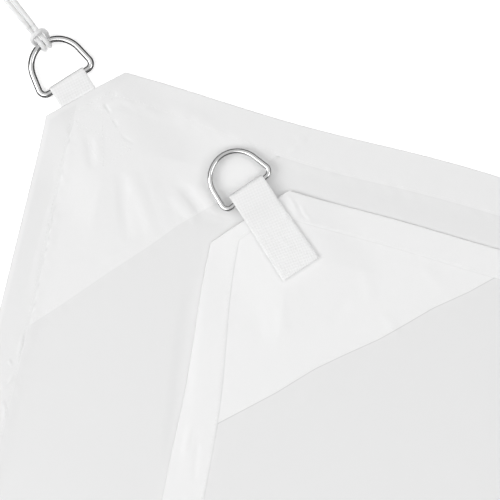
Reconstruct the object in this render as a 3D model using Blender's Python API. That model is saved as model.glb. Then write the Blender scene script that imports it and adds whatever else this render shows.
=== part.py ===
"""A square shade sail of coated polyester, folded once over itself, with its rings and a cord.

The flat pattern has x along the top side from corner A to corner B and y upwards, so the cloth
lies at y < 0. The left half lies face up on the floor. The right half is turned over on top of it,
reverse side up, and corner B comes to lie a hand's width inside corner A. Every corner has a cut-off
tip, a patch on the reverse side, and webbing folded round a D-ring. A doubled cord is hitched to the
ring at corner A and ends in a knot.

Lengths are in metres. A corner's own coordinates are a, along the top or bottom side, and b, along
the left or right side, both measured from where the two straight sides would meet.
"""

import math

import bmesh
import bpy
import numpy as np
from mathutils import Matrix, Vector
from mathutils.geometry import delaunay_2d_cdt

MM = 0.001

# Cloth
SIDE = 2000 * MM
HOLLOW = 9 * MM  # how far each side curves in at its middle
CLOTH = 1.0 * MM
GAP = 0.3 * MM  # between two sewn pieces
HEM_THICK = 2 * CLOTH + GAP
HEM_AT_CORNER = 21 * MM
HEM_GROWS = (30 * MM, 250 * MM)  # from the corner, where the hem widens
TIP_HEM = 10 * MM
PATCH_GAP = 0.5 * MM  # between a patch and the turned-in hem

# Corners: where they lie in the flat pattern, in mm the legs along a and b of the cut-off tip and of
# the patch, and the hem's width further along sides a and b. Then how the webbing lies: turned away
# from side a in degrees, shifted towards side a and reaching out of the tip in mm, and its folded
# length. The ring is turned anticlockwise from the webbing, seen from above.
CORNERS = {
    "A": dict(
        at=(0, 0), tip=(51, 49), patch=(216, 234), hem=(30, 26),
        turn=2.0, shift=-5.2, reach=19, webbing=78, ring_turn=0.0,
    ),
    "B": dict(
        at=(1, 0), tip=(54, 58), patch=(251, 219), hem=(22, 31),
        turn=2.5, shift=10, reach=22.5, webbing=78, ring_turn=8.0,
    ),
    "C": dict(
        at=(0, -1), tip=(50, 51), patch=(226, 222), hem=(27, 28),
        turn=-1.5, shift=3, reach=19, webbing=78, ring_turn=-2.0,
    ),
    "D": dict(
        at=(1, -1), tip=(52, 50), patch=(223, 230), hem=(29, 27),
        turn=1.5, shift=-3, reach=21, webbing=80, ring_turn=-3.0,
    ),
}
LOWER = ("A", "C")  # corners of the half that lies on the floor
UPPER = ("B", "D")  # corners of the half that is turned over

# Slow waves in a side's edge near a corner: corner, side, how far the edge moves in, where it does
# so most, measured from the corner, and the wave's length, in mm
EDGE_WAVES = (
    # corner, side, moves in, crest, length
    ("A", "a", 1.5, 190, 250),
    ("B", "a", 0.7, 228, 170),
    ("B", "b", 0.9, 168, 160),
)
WAVES_FADE = (330 * MM, 520 * MM)

# Fold
B_LIES_AT = (145.2 * MM, -53.4 * MM)  # the turned-over corner B, in the flat pattern's frame
FOLD_LIFT = 9.5 * MM  # height that the fold adds between the two halves
FOLD_SETTLES = 70 * MM
LAYER_LIFT = 2.5 * MM  # air between the two halves
EDGE_LIFT = 2.6 * MM  # the turned-over half curls up this much more at its edges
EDGE_CURL = 70 * MM
TOP_SIDE_BOW = 19.5 * MM  # the turned-over top side lies this much lower halfway to the fold
REST = 26 * MM  # cloth comes down to its bed over this length
STRAP_REST = 24 * MM

# Webbing
WEB = 1.2 * MM
WEB_WIDTH = 30.5 * MM
STRAP_STACK = 2 * (WEB + GAP)
STRAP_MARGIN = 1.5 * MM  # the cloth stays level this far beside the webbing
LIFT_AT_TIP = 2.3 * MM  # of a turned-over tip, where the webbing lies flat on it
LEG_LEVELS_OUT = 1.5 * MM  # the webbing's legs stay level this far out of the tip
LEG_STEPS = 5
LOOP_STEPS = 8

# Ring
WIRE = 4.5 * MM
RING_HALF_BAR = 18 * MM
RING_CORNER = 5 * MM
RING_ARCH = 21 * MM
RING_DEPTH = 35 * MM  # from the bar's axis to the arch's
RING_SIDES = 3  # bevel resolution: ten sides
RING_CORNER_STEPS = 5
RING_ARCH_STEPS = 8
LOOP_RADIUS = WIRE / 2 + GAP + WEB / 2
BAR_HEIGHT = {"A": 3.75 * MM, "B": 7.2 * MM, "C": 3.75 * MM, "D": 4.6 * MM}
ARCH_HEIGHT = {"A": 6.15 * MM, "B": 6.4 * MM, "C": 2.7 * MM, "D": 2.7 * MM}

# Cord
CORD = 3.6 * MM
STRAND_APART = 1.95 * MM  # half the distance between the two strands' axes
STRAND_LENGTH = 96 * MM
STRAND_SPREAD = 0.35 * MM  # each strand bows out this far on its way to the knot
STRAND_STEP = 9 * MM
HITCH_STEP = 2.6 * MM
CORD_SIDES = 2  # bevel resolution: eight sides
CORD_TURN = 6.0  # degrees anticlockwise from the ring's own axis
KNOT_WRAPS = 3
KNOT_GROOVE = 1.26 * MM  # depth between two wraps
KNOT_ROWS = 4  # to each wrap
KNOT_SIDES = 16
KNOT_TAIL = 13 * MM
TAIL_INSIDE = 3 * MM

# Half of the hitch, from the strand's side to the middle of the bar across both strands. x runs
# across, y outwards from the ring's wire and z up, all from the wire's axis at the arch, in mm.
HITCH_ROUTE = (
    # x, y, z
    (-1.95, 15.0, 2.3),
    (-1.95, 10.5, 2.9),
    (-1.95, 6.5, 3.8),
    (-2.0, 2.8, 4.4),
    (-2.05, -0.6, 4.45),
    (-2.1, -3.4, 3.0),
    (-2.2, -4.55, 0.0),
    (-2.7, -3.5, -2.9),
    (-3.9, -0.4, -4.3),
    (-5.1, 3.2, -3.9),
    (-5.8, 6.3, -1.6),
    (-6.0, 7.6, 2.0),
    (-5.3, 7.3, 5.7),
    (-3.1, 6.7, 7.8),
    (0.0, 6.4, 8.35),
)

# Soft folds pressed into the cloth: which half they lie in, both ends in the flat pattern's frame
# as the cloth lies folded, their half width and their height, in mm
SOFT_FOLDS = (
    # half, x0, y0, x1, y1, half width, height
    ("lower", 76, -70, 97, -135, 24, 1.6),
    ("lower", 108, -72, 160, -96, 22, 2.2),
    ("lower", 60, -420, 20, -900, 90, 5.0),
    ("lower", 40, -1180, 150, -1560, 80, 4.0),
    ("upper", 430, -330, 640, -820, 110, 5.0),
    ("upper", 1000, -160, 560, -330, 120, 6.0),
    ("upper", 980, -620, 520, -1120, 130, 7.0),
    ("upper", 240, -760, 330, -1240, 100, 5.0),
    ("upper", 1040, -1230, 700, -1500, 120, 7.0),
    ("upper", 420, -1500, 760, -1860, 120, 6.0),
)

# Where the flat pattern has its points
# Distances along a side, from either corner, of the points on its edge, in mm
STATIONS = (78, 100, 125, 150, 178, 208, 242, 282, 330, 390, 460, 540, 630, 730, 850)
CLEAR_OF_END = 8 * MM  # no point on a side lies closer to the side's end
DIAGONAL_STEPS = 8
FINE_GRID = 30 * MM  # by corners A and B
FINE_REACH = 400 * MM
MIDDLE_GRID = 48 * MM  # by corners C and D
MIDDLE_REACH = 250 * MM
WIDE_GRID = 92 * MM
GRID_CLEARS = 0.4  # of a grid's step, between its points and any line
PAST_TIP = 4 * MM  # lines round the webbing reach this far out of the tip
PAST_SIDES = 50 * MM  # the fold's lines reach this far out of the cloth
FOLD_STEPS = 6

# The part's origin in the flat pattern's frame, below the middle of what lies on the floor
ORIGIN = Vector((552.7 * MM, -1028.5 * MM, 0))


# ---------------------------------------------------------------- the flat pattern


def smooth(t):
    t = np.clip(t, 0.0, 1.0)
    return t * t * (3 - 2 * t)


def corner_axes(name):
    """A corner's flat position, and its unit vectors along a and b."""
    column, row = CORNERS[name]["at"]
    along_a = Vector((1 - 2 * column, 0))
    along_b = Vector((0, -1 - 2 * row))
    return Vector((column * SIDE, row * SIDE)), along_a, along_b


def from_corner(name, a, b):
    at, along_a, along_b = corner_axes(name)
    return at + along_a * a + along_b * b


def corner_coordinates(name, x, y):
    at, along_a, along_b = corner_axes(name)
    return (x - at.x) * along_a.x, (y - at.y) * along_b.y


def other_end(name, side):
    """The corner at the other end of a corner's side a or b."""
    column, row = CORNERS[name]["at"]
    there = (1 - column, row) if side == "a" else (column, -1 - row)
    return next(other for other in CORNERS if CORNERS[other]["at"] == there)


def edge_inset(name, side, along):
    """How far a side's edge lies inside the straight line between its corners."""
    q = np.clip(along / SIDE, 0.0, 1.0)
    depth = 4 * HOLLOW * q * (1 - q)
    for corner, which, moves_in, crest, length in EDGE_WAVES:
        if which != side or corner not in (name, other_end(name, side)):
            continue
        here = along if corner == name else SIDE - along
        fade = 1 - smooth((here - WAVES_FADE[0]) / (WAVES_FADE[1] - WAVES_FADE[0]))
        depth = depth + moves_in * MM * fade * np.cos(2 * math.pi * (here - crest * MM) / (length * MM))
    return depth


def hem_width(name, side, along):
    index = "ab".index(side)
    own = CORNERS[name]["hem"][index] * MM
    other = CORNERS[other_end(name, side)]["hem"][index] * MM
    width = own + (other - own) * smooth(along / SIDE)
    start, end = HEM_GROWS
    from_end = np.minimum(along, SIDE - along)
    return HEM_AT_CORNER + (width - HEM_AT_CORNER) * smooth((from_end - start) / (end - start))


def hem_inset(name, side, along):
    return edge_inset(name, side, along) + hem_width(name, side, along)


def patch_inset(name, side, along):
    return hem_inset(name, side, along) + PATCH_GAP


def moved_in(legs, distance):
    """The legs, in mm, of a line across a corner, once the line is moved into the cloth, in metres."""
    leg_a, leg_b = (leg * MM for leg in legs)
    grows = 1 + distance * math.hypot(leg_a, leg_b) / (leg_a * leg_b)
    return leg_a * grows, leg_b * grows


def meets(name, side, inset, legs):
    """Where a line inside a side meets a line across the corner: its distance along the side."""
    leg, other_leg = legs if side == "a" else reversed(legs)
    along = leg
    for _ in range(12):  # each pass comes closer
        along = leg * (1 - float(inset(name, side, along)) / other_leg)
    return along


def side_points(name, side, inset, start, end):
    """Points of a line inside a side, from start to end along it."""
    from_both_ends = [s * MM for s in STATIONS] + [SIDE / 2] + [SIDE - s * MM for s in reversed(STATIONS)]
    between = [s for s in from_both_ends if start + CLEAR_OF_END < s < end - CLEAR_OF_END]
    points = []
    for s in [start, *between, end]:
        inwards = float(inset(name, side, s))
        points.append(from_corner(name, s, inwards) if side == "a" else from_corner(name, inwards, s))
    return points


def ring_of_points(inset, tip_depth):
    """Points round the whole cloth, at one distance inside its edge, clockwise from corner A."""
    points = []
    for name, side in (("A", "a"), ("B", "b"), ("D", "a"), ("C", "b")):
        other = other_end(name, side)
        start = meets(name, side, inset, moved_in(CORNERS[name]["tip"], tip_depth))
        end = SIDE - meets(other, side, inset, moved_in(CORNERS[other]["tip"], tip_depth))
        points += side_points(name, side, inset, start, end)
    return points


def patch_outline(name):
    """The patch inside the hem: out along side a, back along the diagonal and side b."""
    tip = moved_in(CORNERS[name]["tip"], TIP_HEM + PATCH_GAP)
    patch = moved_in(CORNERS[name]["patch"], 0)
    sides = []
    for side in "ab":
        start = meets(name, side, patch_inset, tip)
        end = meets(name, side, patch_inset, patch)
        sides.append(side_points(name, side, patch_inset, start, end))
    side_a, side_b = sides
    diagonal = [side_a[-1].lerp(side_b[-1], k / DIAGONAL_STEPS) for k in range(1, DIAGONAL_STEPS)]
    return side_a + diagonal + side_b[::-1]


def fold_line():
    """A point of the fold line, its direction down the cloth, and its normal towards corner B."""
    flat = Vector((SIDE, 0))
    lies = Vector(B_LIES_AT)
    normal = (flat - lies).normalized()
    return (flat + lies) / 2, Vector((normal.y, -normal.x)), normal


def fold_reach():
    """Half the cloth's length round the fold."""
    return math.pi / 2 * (LAYER_LIFT + FOLD_LIFT) / 2


def fold_lines():
    """The lines across the cloth along which it bends round the fold, each as two end points."""
    middle, down, normal = fold_line()
    reach = fold_reach()
    lines = []
    for k in range(FOLD_STEPS + 1):
        base = middle + normal * (reach * (2 * k / FOLD_STEPS - 1))
        ends = []
        for level in (PAST_SIDES, -SIDE - PAST_SIDES):
            ends.append(base + down * ((level - base.y) / down.y))
        lines.append(ends)
    return lines


def flat_tip(name):
    """The middle of the webbing where it crosses a tip's edge, and the way it points, laid flat."""
    row = CORNERS[name]
    _, along_a, along_b = corner_axes(name)
    towards_a = (along_a - along_b).normalized()
    square = -(along_a + along_b).normalized()
    turn = math.radians(row["turn"])
    middle = from_corner(name, *(leg * MM / 2 for leg in row["tip"]))
    return middle + towards_a * (row["shift"] * MM), square * math.cos(turn) - towards_a * math.sin(turn)


def strap_on_cloth(name):
    """Length of webbing that lies on the cloth or under it."""
    return (CORNERS[name]["webbing"] - CORNERS[name]["reach"]) * MM


def strap_lines(name):
    """Lines along which the cloth bends where it leaves the webbing, and where it comes to rest."""
    tip, outwards = flat_tip(name)
    across = Vector((outwards.y, -outwards.x))
    lines = []
    for margin in (STRAP_MARGIN, STRAP_MARGIN + STRAP_REST):
        aside = across * (WEB_WIDTH / 2 + margin)
        inner = tip - outwards * (strap_on_cloth(name) + margin)
        outer = tip + outwards * (PAST_TIP + margin)
        corners = (outer + aside, inner + aside, inner - aside, outer - aside)
        lines += zip(corners, corners[1:])
    return lines


def grid(step, x_range, y_range):
    xs = np.arange(x_range[0] + step / 2, x_range[1], step)
    ys = np.arange(y_range[0] + step / 2, y_range[1], step)
    return [(x, y) for x in xs for y in ys]


def near_corner(x, y, names, reach):
    for name in names:
        a, b = corner_coordinates(name, x, y)
        if max(a, b) < reach:
            return True
    return False


def distance_to_lines(point, lines):
    """The least distance from a point to any of many segments, each a row x0, y0, x1, y1."""
    start, end = lines[:, :2], lines[:, 2:]
    run = end - start
    t = np.clip(((point - start) * run).sum(1) / (run**2).sum(1), 0, 1)
    return np.linalg.norm(start + run * t[:, None] - point, axis=1).min()


def inner_points(lines):
    """Points inside the hem: close together by the corners that show, and wider apart elsewhere."""
    fine = [p for p in grid(FINE_GRID, (0, SIDE), (-FINE_REACH, 0)) if near_corner(*p, "AB", FINE_REACH)]
    middle = [
        p
        for p in grid(MIDDLE_GRID, (0, SIDE), (-SIDE, MIDDLE_REACH - SIDE))
        if near_corner(*p, "CD", MIDDLE_REACH)
    ]
    wide = [
        p
        for p in grid(WIDE_GRID, (0, SIDE), (-SIDE, 0))
        if not near_corner(*p, "AB", FINE_REACH + WIDE_GRID / 3)
        and not near_corner(*p, "CD", MIDDLE_REACH + WIDE_GRID / 3)
    ]
    kept = []
    for points, step in ((fine, FINE_GRID), (middle, MIDDLE_GRID), (wide, WIDE_GRID)):
        for p in points:
            clear = distance_to_lines(np.array(p), lines) > GRID_CLEARS * step
            if clear and inside_hem(*p) > 0:
                kept.append(Vector(p))
    return kept


def flat_pattern():
    """The cloth cut into triangles: its points, and each triangle with the names of what it is in."""
    loops = {"edge": ring_of_points(edge_inset, 0), "body": ring_of_points(hem_inset, TIP_HEM)}
    loops.update({name: patch_outline(name) for name in CORNERS})
    points, faces, segments = [], [], []
    for loop in map(anticlockwise, loops.values()):
        first = len(points)
        points += loop
        faces.append(list(range(first, len(points))))
        segments += [(*p, *q) for p, q in zip(loop, loop[1:] + loop[:1])]
    edges = []
    for start, end in fold_lines() + [line for name in CORNERS for line in strap_lines(name)]:
        edges.append((len(points), len(points) + 1))
        points += [start, end]
        segments.append((*start, *end))
    points += inner_points(np.array(segments))
    found = delaunay_2d_cdt(points, edges, faces, 1, 1e-7, True)
    names = list(loops)
    triangles = []
    for corners, inside in zip(found[2], found[5]):
        within = {names[i] for i in inside}
        if "edge" in within:
            triangles.append((tuple(corners), within))
    return np.array([tuple(p) for p in found[0]]), triangles


def anticlockwise(loop):
    area = sum(p.cross(q) for p, q in zip(loop, loop[1:] + loop[:1]))
    return loop if area > 0 else loop[::-1]


# ---------------------------------------------------------------- how the cloth lies


def inside_hem(x, y):
    """Distance inside the hem's inner line, negative in the hem and outside the cloth."""
    depths = []
    for name, side in (("A", "a"), ("C", "a"), ("A", "b"), ("B", "b")):
        a, b = corner_coordinates(name, x, y)
        along, inwards = (a, b) if side == "a" else (b, a)
        depths.append(inwards - hem_inset(name, side, along))
    for name in CORNERS:
        depths.append(beyond_line(name, "tip", x, y) - TIP_HEM)
    return np.minimum.reduce(depths)


def beyond_line(name, line, x, y):
    """Distance into the cloth from a line across a corner, the cut of its tip or its patch's diagonal."""
    leg_a, leg_b = moved_in(CORNERS[name][line], 0)
    a, b = corner_coordinates(name, x, y)
    return (a / leg_a + b / leg_b - 1) * leg_a * leg_b / math.hypot(leg_a, leg_b)


def soft_folds(half, x, y):
    """Height that the soft folds of one half add where the cloth lies."""
    height = np.zeros(np.shape(x))
    for which, x0, y0, x1, y1, half_width, top in SOFT_FOLDS:
        if which != half:
            continue
        run_x, run_y = (x1 - x0) * MM, (y1 - y0) * MM
        length = math.hypot(run_x, run_y)
        t = ((x - x0 * MM) * run_x + (y - y0 * MM) * run_y) / length**2
        aside = ((x - x0 * MM) * run_y - (y - y0 * MM) * run_x) / length
        ends = 4 * t * (1 - t)
        profile = 1 - (aside / (half_width * MM)) ** 2
        height = height + top * MM * np.clip(ends, 0, 1) * np.clip(profile, 0, 1) ** 2
    return height


def off_strap(name, x, y):
    """How far a flat point is from a corner's webbing: 0 on it, and 1 where the cloth is at rest."""
    tip, outwards = flat_tip(name)
    out = (x - tip.x) * outwards.x + (y - tip.y) * outwards.y
    aside = (x - tip.x) * outwards.y - (y - tip.y) * outwards.x
    past_end = -out - strap_on_cloth(name)
    past_side = np.abs(aside) - WEB_WIDTH / 2
    return smooth((np.maximum(past_end, past_side) - STRAP_MARGIN) / STRAP_REST)


def lower_height(x, y):
    """Height of the lower half's face. It lies on the floor, and on hem, patch and webbing."""
    free = smooth(inside_hem(x, y) / REST)
    for name in LOWER:
        free = free * smooth(beyond_line(name, "patch", x, y) / REST)
    height = CLOTH + (CLOTH + GAP) * (1 - free)
    folds = soft_folds("lower", x, y) * smooth(inside_hem(x, y) / REST + 0.35)
    for name in LOWER:
        off = off_strap(name, x, y)
        height = height + STRAP_STACK * (1 - off)
        folds = folds * off
    return height + folds


def upper_height(flat_x, flat_y, x, y, past_fold):
    """Height of the turned-over half's face, which looks down, at flat point and where it lies."""
    inside = inside_hem(flat_x, flat_y)
    lift = LAYER_LIFT + FOLD_LIFT * np.exp(-((np.maximum(past_fold, 0) / FOLD_SETTLES) ** 2))
    lift = lift + EDGE_LIFT * (1 - smooth(inside / EDGE_CURL)) * smooth(past_fold / (2 * FOLD_SETTLES))
    height = lower_height(x, y) + lift + soft_folds("upper", x, y) * smooth(inside / EDGE_CURL + 0.3)
    for name in UPPER:
        height = height + (tip_height(name) - height) * (1 - off_strap(name, flat_x, flat_y))
    return height


def tip_height(name):
    """Height of the face at a corner's tip, where the webbing is sewn on."""
    if name in LOWER:
        return HEM_THICK + STRAP_STACK
    return HEM_THICK + LIFT_AT_TIP


def turned_over(x, y):
    """Where flat points past the fold lie once turned over, and how far they are from its line."""
    middle, down, normal = fold_line()
    from_fold = (x - middle.x) * normal.x + (y - middle.y) * normal.y
    reach = fold_reach()
    past = from_fold - reach
    b_past = (SIDE - middle.x) * normal.x + (0 - middle.y) * normal.y - reach
    q = np.clip(past / b_past, 0.0, None)
    bow = TOP_SIDE_BOW * 4 * q * (1 - q)
    lies_x = x - 2 * from_fold * normal.x + bow * down.x
    lies_y = y - 2 * from_fold * normal.y + bow * down.y
    return lies_x, lies_y, from_fold


def lie(x, y):
    """Face points and the directions from face to reverse side, for arrays of flat points."""
    middle, down, normal = fold_line()
    reach = fold_reach()
    lies_x, lies_y, from_fold = turned_over(x, y)
    turn = np.clip((from_fold / reach + 1) * math.pi / 2, 0, math.pi)
    lower = from_fold <= -reach
    upper = from_fold >= reach
    bend_x = x - (from_fold + reach) * normal.x
    bend_y = y - (from_fold + reach) * normal.y
    base_x = np.where(lower, x, np.where(upper, lies_x, bend_x))
    base_y = np.where(lower, y, np.where(upper, lies_y, bend_y))
    low = lower_height(base_x, base_y)
    high = upper_height(x, y, base_x, base_y, from_fold - reach)
    radius = (LAYER_LIFT + FOLD_LIFT) / 2
    bulge = radius * np.sin(turn)
    face = np.stack(
        [
            base_x + bulge * normal.x,
            base_y + bulge * normal.y,
            low + (high - low) * (1 - np.cos(turn)) / 2,
        ],
        axis=-1,
    )
    back = np.stack([np.sin(turn) * normal.x, np.sin(turn) * normal.y, -np.cos(turn)], axis=-1)
    return face, back


def tip_frame(name):
    """The middle of the webbing where it crosses a tip's edge, and the way it points, as they lie."""
    tip, outwards = flat_tip(name)
    if name in LOWER:
        return tip, outwards
    lies = Vector(turned_over(tip.x, tip.y)[:2])
    further = tip + outwards * MM
    return lies, (Vector(turned_over(further.x, further.y)[:2]) - lies).normalized()


# ---------------------------------------------------------------- solids


def material(name, colour, roughness, metallic=0.0):
    made = bpy.data.materials.new(name)
    made.use_nodes = True
    shader = made.node_tree.nodes["Principled BSDF"]
    shader.inputs["Base Color"].default_value = (*colour, 1)
    shader.inputs["Roughness"].default_value = roughness
    shader.inputs["Metallic"].default_value = metallic
    return made


def add_object(name, data, look, frame):
    data.materials.append(look)
    made = bpy.data.objects.new(name, data)
    bpy.context.scene.collection.objects.link(made)
    made.parent = frame
    return made


def sheet_mesh(name, points, triangles, near, far):
    """A sheet of cloth between near and far from the face, with upright walls where far changes.

    triangles holds each triangle's corners in the flat pattern, and far gives its depth.
    """
    face, back = lie(points[:, 0], points[:, 1])
    owner = {}
    for corners, depth in zip(triangles, far):
        for i, j in zip(corners, corners[1:] + corners[:1]):
            owner[i, j] = depth
    mesh = bmesh.new()
    made = {}

    def vertex(index, depth):
        if (index, depth) not in made:
            made[index, depth] = mesh.verts.new(face[index] + back[index] * depth)
        return made[index, depth]

    for corners, depth in zip(triangles, far):
        mesh.faces.new([vertex(i, near) for i in corners])
        mesh.faces.new([vertex(i, depth) for i in reversed(corners)])
    for (i, j), depth in owner.items():
        other = owner.get((j, i), near)
        if depth > other:
            mesh.faces.new([vertex(i, depth), vertex(j, depth), vertex(j, other), vertex(i, other)])
    bmesh.ops.triangulate(mesh, faces=mesh.faces[:])
    data = bpy.data.meshes.new(name)
    mesh.to_mesh(data)
    mesh.free()
    return data


def add_cloth(frame, look_cloth, look_patch):
    points, triangles = flat_pattern()
    corners = [t for t, within in triangles]
    far = [CLOTH if "body" in within else HEM_THICK for t, within in triangles]
    add_object("sail", sheet_mesh("sail", points, corners, 0.0, far), look_cloth, frame)
    for name in CORNERS:
        own = [t for t, within in triangles if name in within]
        mesh = sheet_mesh(f"patch_{name}", points, own, CLOTH + GAP, [HEM_THICK] * len(own))
        add_object(f"patch_{name}", mesh, look_patch, frame)


def ease(start, end, steps):
    """Points from start to end that leave and arrive level, without the first one."""
    points = []
    for k in range(1, steps + 1):
        t = k / steps
        lift = (1 - math.cos(math.pi * t)) / 2
        points.append((start[0] + (end[0] - start[0]) * t, start[1] + (end[1] - start[1]) * lift))
    return points


def strap_levels(name):
    """Heights of the middles of the webbing's two legs where they lie flat."""
    if name in LOWER:
        return WEB / 2, WEB / 2 + WEB + GAP
    low = tip_height(name) + HEM_THICK + GAP + WEB / 2
    return low, low + WEB + GAP


def bar_out(name):
    """How far out of the tip the ring's bar lies, and where the webbing's loop turns round it."""
    turns_at = CORNERS[name]["reach"] * MM - LOOP_RADIUS - WEB / 2
    slant = WEB_WIDTH / 2 * math.tan(math.radians(abs(CORNERS[name]["ring_turn"])))
    return turns_at - slant, turns_at


def strap_path(name):
    """Middle line of the webbing, as distance out of the tip and height, from leg to leg."""
    inner = -strap_on_cloth(name)
    low, high = strap_levels(name)
    bar, turns_at = bar_out(name)
    straight_from = 2 * bar - turns_at - WIRE / 2
    height = BAR_HEIGHT[name]
    level_at = LEG_LEVELS_OUT
    path = [(inner, low), (inner / 2, low), (level_at, low)]
    path += ease((level_at, low), (straight_from, height - LOOP_RADIUS), LEG_STEPS)
    for k in range(LOOP_STEPS + 1):
        angle = math.pi * (k / LOOP_STEPS - 0.5)
        path.append((turns_at + LOOP_RADIUS * math.cos(angle), height + LOOP_RADIUS * math.sin(angle)))
    path.append((straight_from, height + LOOP_RADIUS))
    path += ease((straight_from, height + LOOP_RADIUS), (level_at, high), LEG_STEPS)
    path += [(inner / 2, high), (inner, high)]
    return path


def ribbon_mesh(name, path, thick, width):
    """A flat band along a path in x and z, its width along y."""
    points = [Vector(p) for p in path]
    sides = []
    for k, point in enumerate(points):
        before = points[max(k - 1, 0)]
        after = points[min(k + 1, len(points) - 1)]
        run = (after - before).normalized()
        normal = Vector((-run.y, run.x))
        sides.append((point + normal * thick / 2, point - normal * thick / 2))
    mesh = bmesh.new()
    rows = []
    for inner, outer in sides:
        corners = ((inner, -1), (inner, 1), (outer, 1), (outer, -1))
        rows.append([mesh.verts.new((p.x, side * width / 2, p.y)) for p, side in corners])
    mesh.faces.new(rows[0])
    mesh.faces.new(reversed(rows[-1]))
    for row, following in zip(rows, rows[1:]):
        for k in range(4):
            nearby = (k + 1) % 4
            mesh.faces.new([row[k], following[k], following[nearby], row[nearby]])
    bmesh.ops.recalc_face_normals(mesh, faces=mesh.faces[:])
    data = bpy.data.meshes.new(name)
    mesh.to_mesh(data)
    mesh.free()
    return data


def add_strap(name, frame, look):
    tip, outwards = tip_frame(name)
    mesh = ribbon_mesh(f"strap_{name}", strap_path(name), WEB, WEB_WIDTH)
    strap = add_object(f"strap_{name}", mesh, look, frame)
    strap.location = (tip.x, tip.y, 0)
    strap.rotation_euler = (0, 0, math.atan2(outwards.y, outwards.x))


def ring_points():
    """The D-ring's middle line: bar along x, arch towards +y, round corners and straight sides."""
    corner = Vector((RING_HALF_BAR, RING_CORNER))
    arch = Vector((0, RING_DEPTH - RING_ARCH))
    between = arch - corner
    lean = math.acos((RING_CORNER - RING_ARCH) / between.length)
    side_angle = math.atan2(between.y, between.x) - lean
    half = [Vector((0, 0)), Vector((RING_HALF_BAR / 2, 0))]
    for k in range(RING_CORNER_STEPS + 1):
        angle = -math.pi / 2 + (side_angle + math.pi / 2) * k / RING_CORNER_STEPS
        half.append(corner + RING_CORNER * Vector((math.cos(angle), math.sin(angle))))
    for k in range(RING_ARCH_STEPS):
        angle = side_angle + (math.pi / 2 - side_angle) * k / RING_ARCH_STEPS
        half.append(arch + RING_ARCH * Vector((math.cos(angle), math.sin(angle))))
    top = Vector((0, RING_DEPTH))
    return half + [top] + [Vector((-p.x, p.y)) for p in reversed(half[1:])]


def tube(name, points, diameter, sides, closed=False):
    """A round wire or cord along points."""
    curve = bpy.data.curves.new(name, "CURVE")
    curve.dimensions = "3D"
    curve.bevel_depth = diameter / 2
    curve.bevel_resolution = sides
    curve.use_fill_caps = not closed
    spline = curve.splines.new("POLY")
    spline.points.add(len(points) - 1)
    for target, point in zip(spline.points, points):
        target.co = (*point, 1)
    spline.use_cyclic_u = closed
    spline.use_smooth = True
    return curve


def ring_matrix(name):
    """Places a ring's own plane: x along the bar, y towards the arch."""
    tip, outwards = tip_frame(name)
    bar, _ = bar_out(name)
    centre = tip + outwards * bar
    heading = math.atan2(outwards.y, outwards.x) + math.radians(CORNERS[name]["ring_turn"])
    rise = math.asin((ARCH_HEIGHT[name] - BAR_HEIGHT[name]) / RING_DEPTH)
    place = Matrix.Translation((centre.x, centre.y, BAR_HEIGHT[name]))
    return place @ Matrix.Rotation(heading - math.pi / 2, 4, "Z") @ Matrix.Rotation(rise, 4, "X")


def add_ring(name, frame, look):
    points = [(p.x, p.y, 0) for p in ring_points()]
    ring = add_object(f"ring_{name}", tube(f"ring_{name}", points, WIRE, RING_SIDES, True), look, frame)
    ring.matrix_local = ring_matrix(name)


# ---------------------------------------------------------------- the cord


def smooth_route(points, step):
    """Points about a step apart on a smooth curve through the given ones."""
    route = [Vector(p) for p in points]
    route = [2 * route[0] - route[1], *route, 2 * route[-1] - route[-2]]
    found = []
    for before, start, end, after in zip(route, route[1:], route[2:], route[3:]):
        pieces = max(1, round((end - start).length / step))
        for k in range(pieces):
            t = k / pieces
            found.append(
                0.5
                * (
                    2 * start
                    + (end - before) * t
                    + (2 * before - 5 * start + 4 * end - after) * t**2
                    + (3 * start - before - 3 * end + after) * t**3
                )
            )
    return found + [route[-2]]


def hitch_matrix():
    """Places the hitch's route: x across, y outwards along the cord, z up, at the ring's arch."""
    ring = ring_matrix("A")
    arch = ring @ Vector((0, RING_DEPTH, 0))
    heading = ring.to_euler().z + math.radians(CORD_TURN)
    return Matrix.Translation(arch) @ Matrix.Rotation(heading, 4, "Z")


def knot_sizes():
    """The knot's half width, half height and length round two strands side by side."""
    wrap = CORD + GAP
    return STRAND_APART + CORD / 2 + wrap, CORD / 2 + wrap, KNOT_WRAPS * wrap


def knot_mesh(name):
    """Wraps of cord round both strands, as one barrel with a ridge for each wrap, along y."""
    half_width, half_height, length = knot_sizes()
    mesh = bmesh.new()
    rows = []
    for step in range(KNOT_WRAPS * KNOT_ROWS + 1):
        y = length * step / (KNOT_WRAPS * KNOT_ROWS)
        phase = (step % KNOT_ROWS) / KNOT_ROWS
        inwards = KNOT_GROOVE * (1 - math.sin(math.pi * phase)) ** 2
        row = []
        for k in range(KNOT_SIDES):
            angle = 2 * math.pi * k / KNOT_SIDES
            x = (half_width - inwards) * math.cos(angle)
            z = (half_height - inwards) * math.sin(angle)
            row.append(mesh.verts.new((x, y, z)))
        rows.append(row)
    for row, following in zip(rows, rows[1:]):
        for k in range(KNOT_SIDES):
            nearby = (k + 1) % KNOT_SIDES
            mesh.faces.new([row[k], following[k], following[nearby], row[nearby]])
    mesh.faces.new(rows[0])
    mesh.faces.new(reversed(rows[-1]))
    bmesh.ops.recalc_face_normals(mesh, faces=mesh.faces[:])
    data = bpy.data.meshes.new(name)
    mesh.to_mesh(data)
    mesh.free()
    return data


def strand_route(side, end_height):
    """One strand from the hitch to the knot, beside the other, in the hitch's frame."""
    x, y, z = (v * MM for v in HITCH_ROUTE[0])
    y += GAP
    drop = end_height - z
    points = []
    for k in range(5):
        t = k / 4
        spread = STRAND_SPREAD * math.sin(math.pi * t)
        points.append((-side * (x - spread), y + STRAND_LENGTH * t, z + drop * t))
    return points


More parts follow.
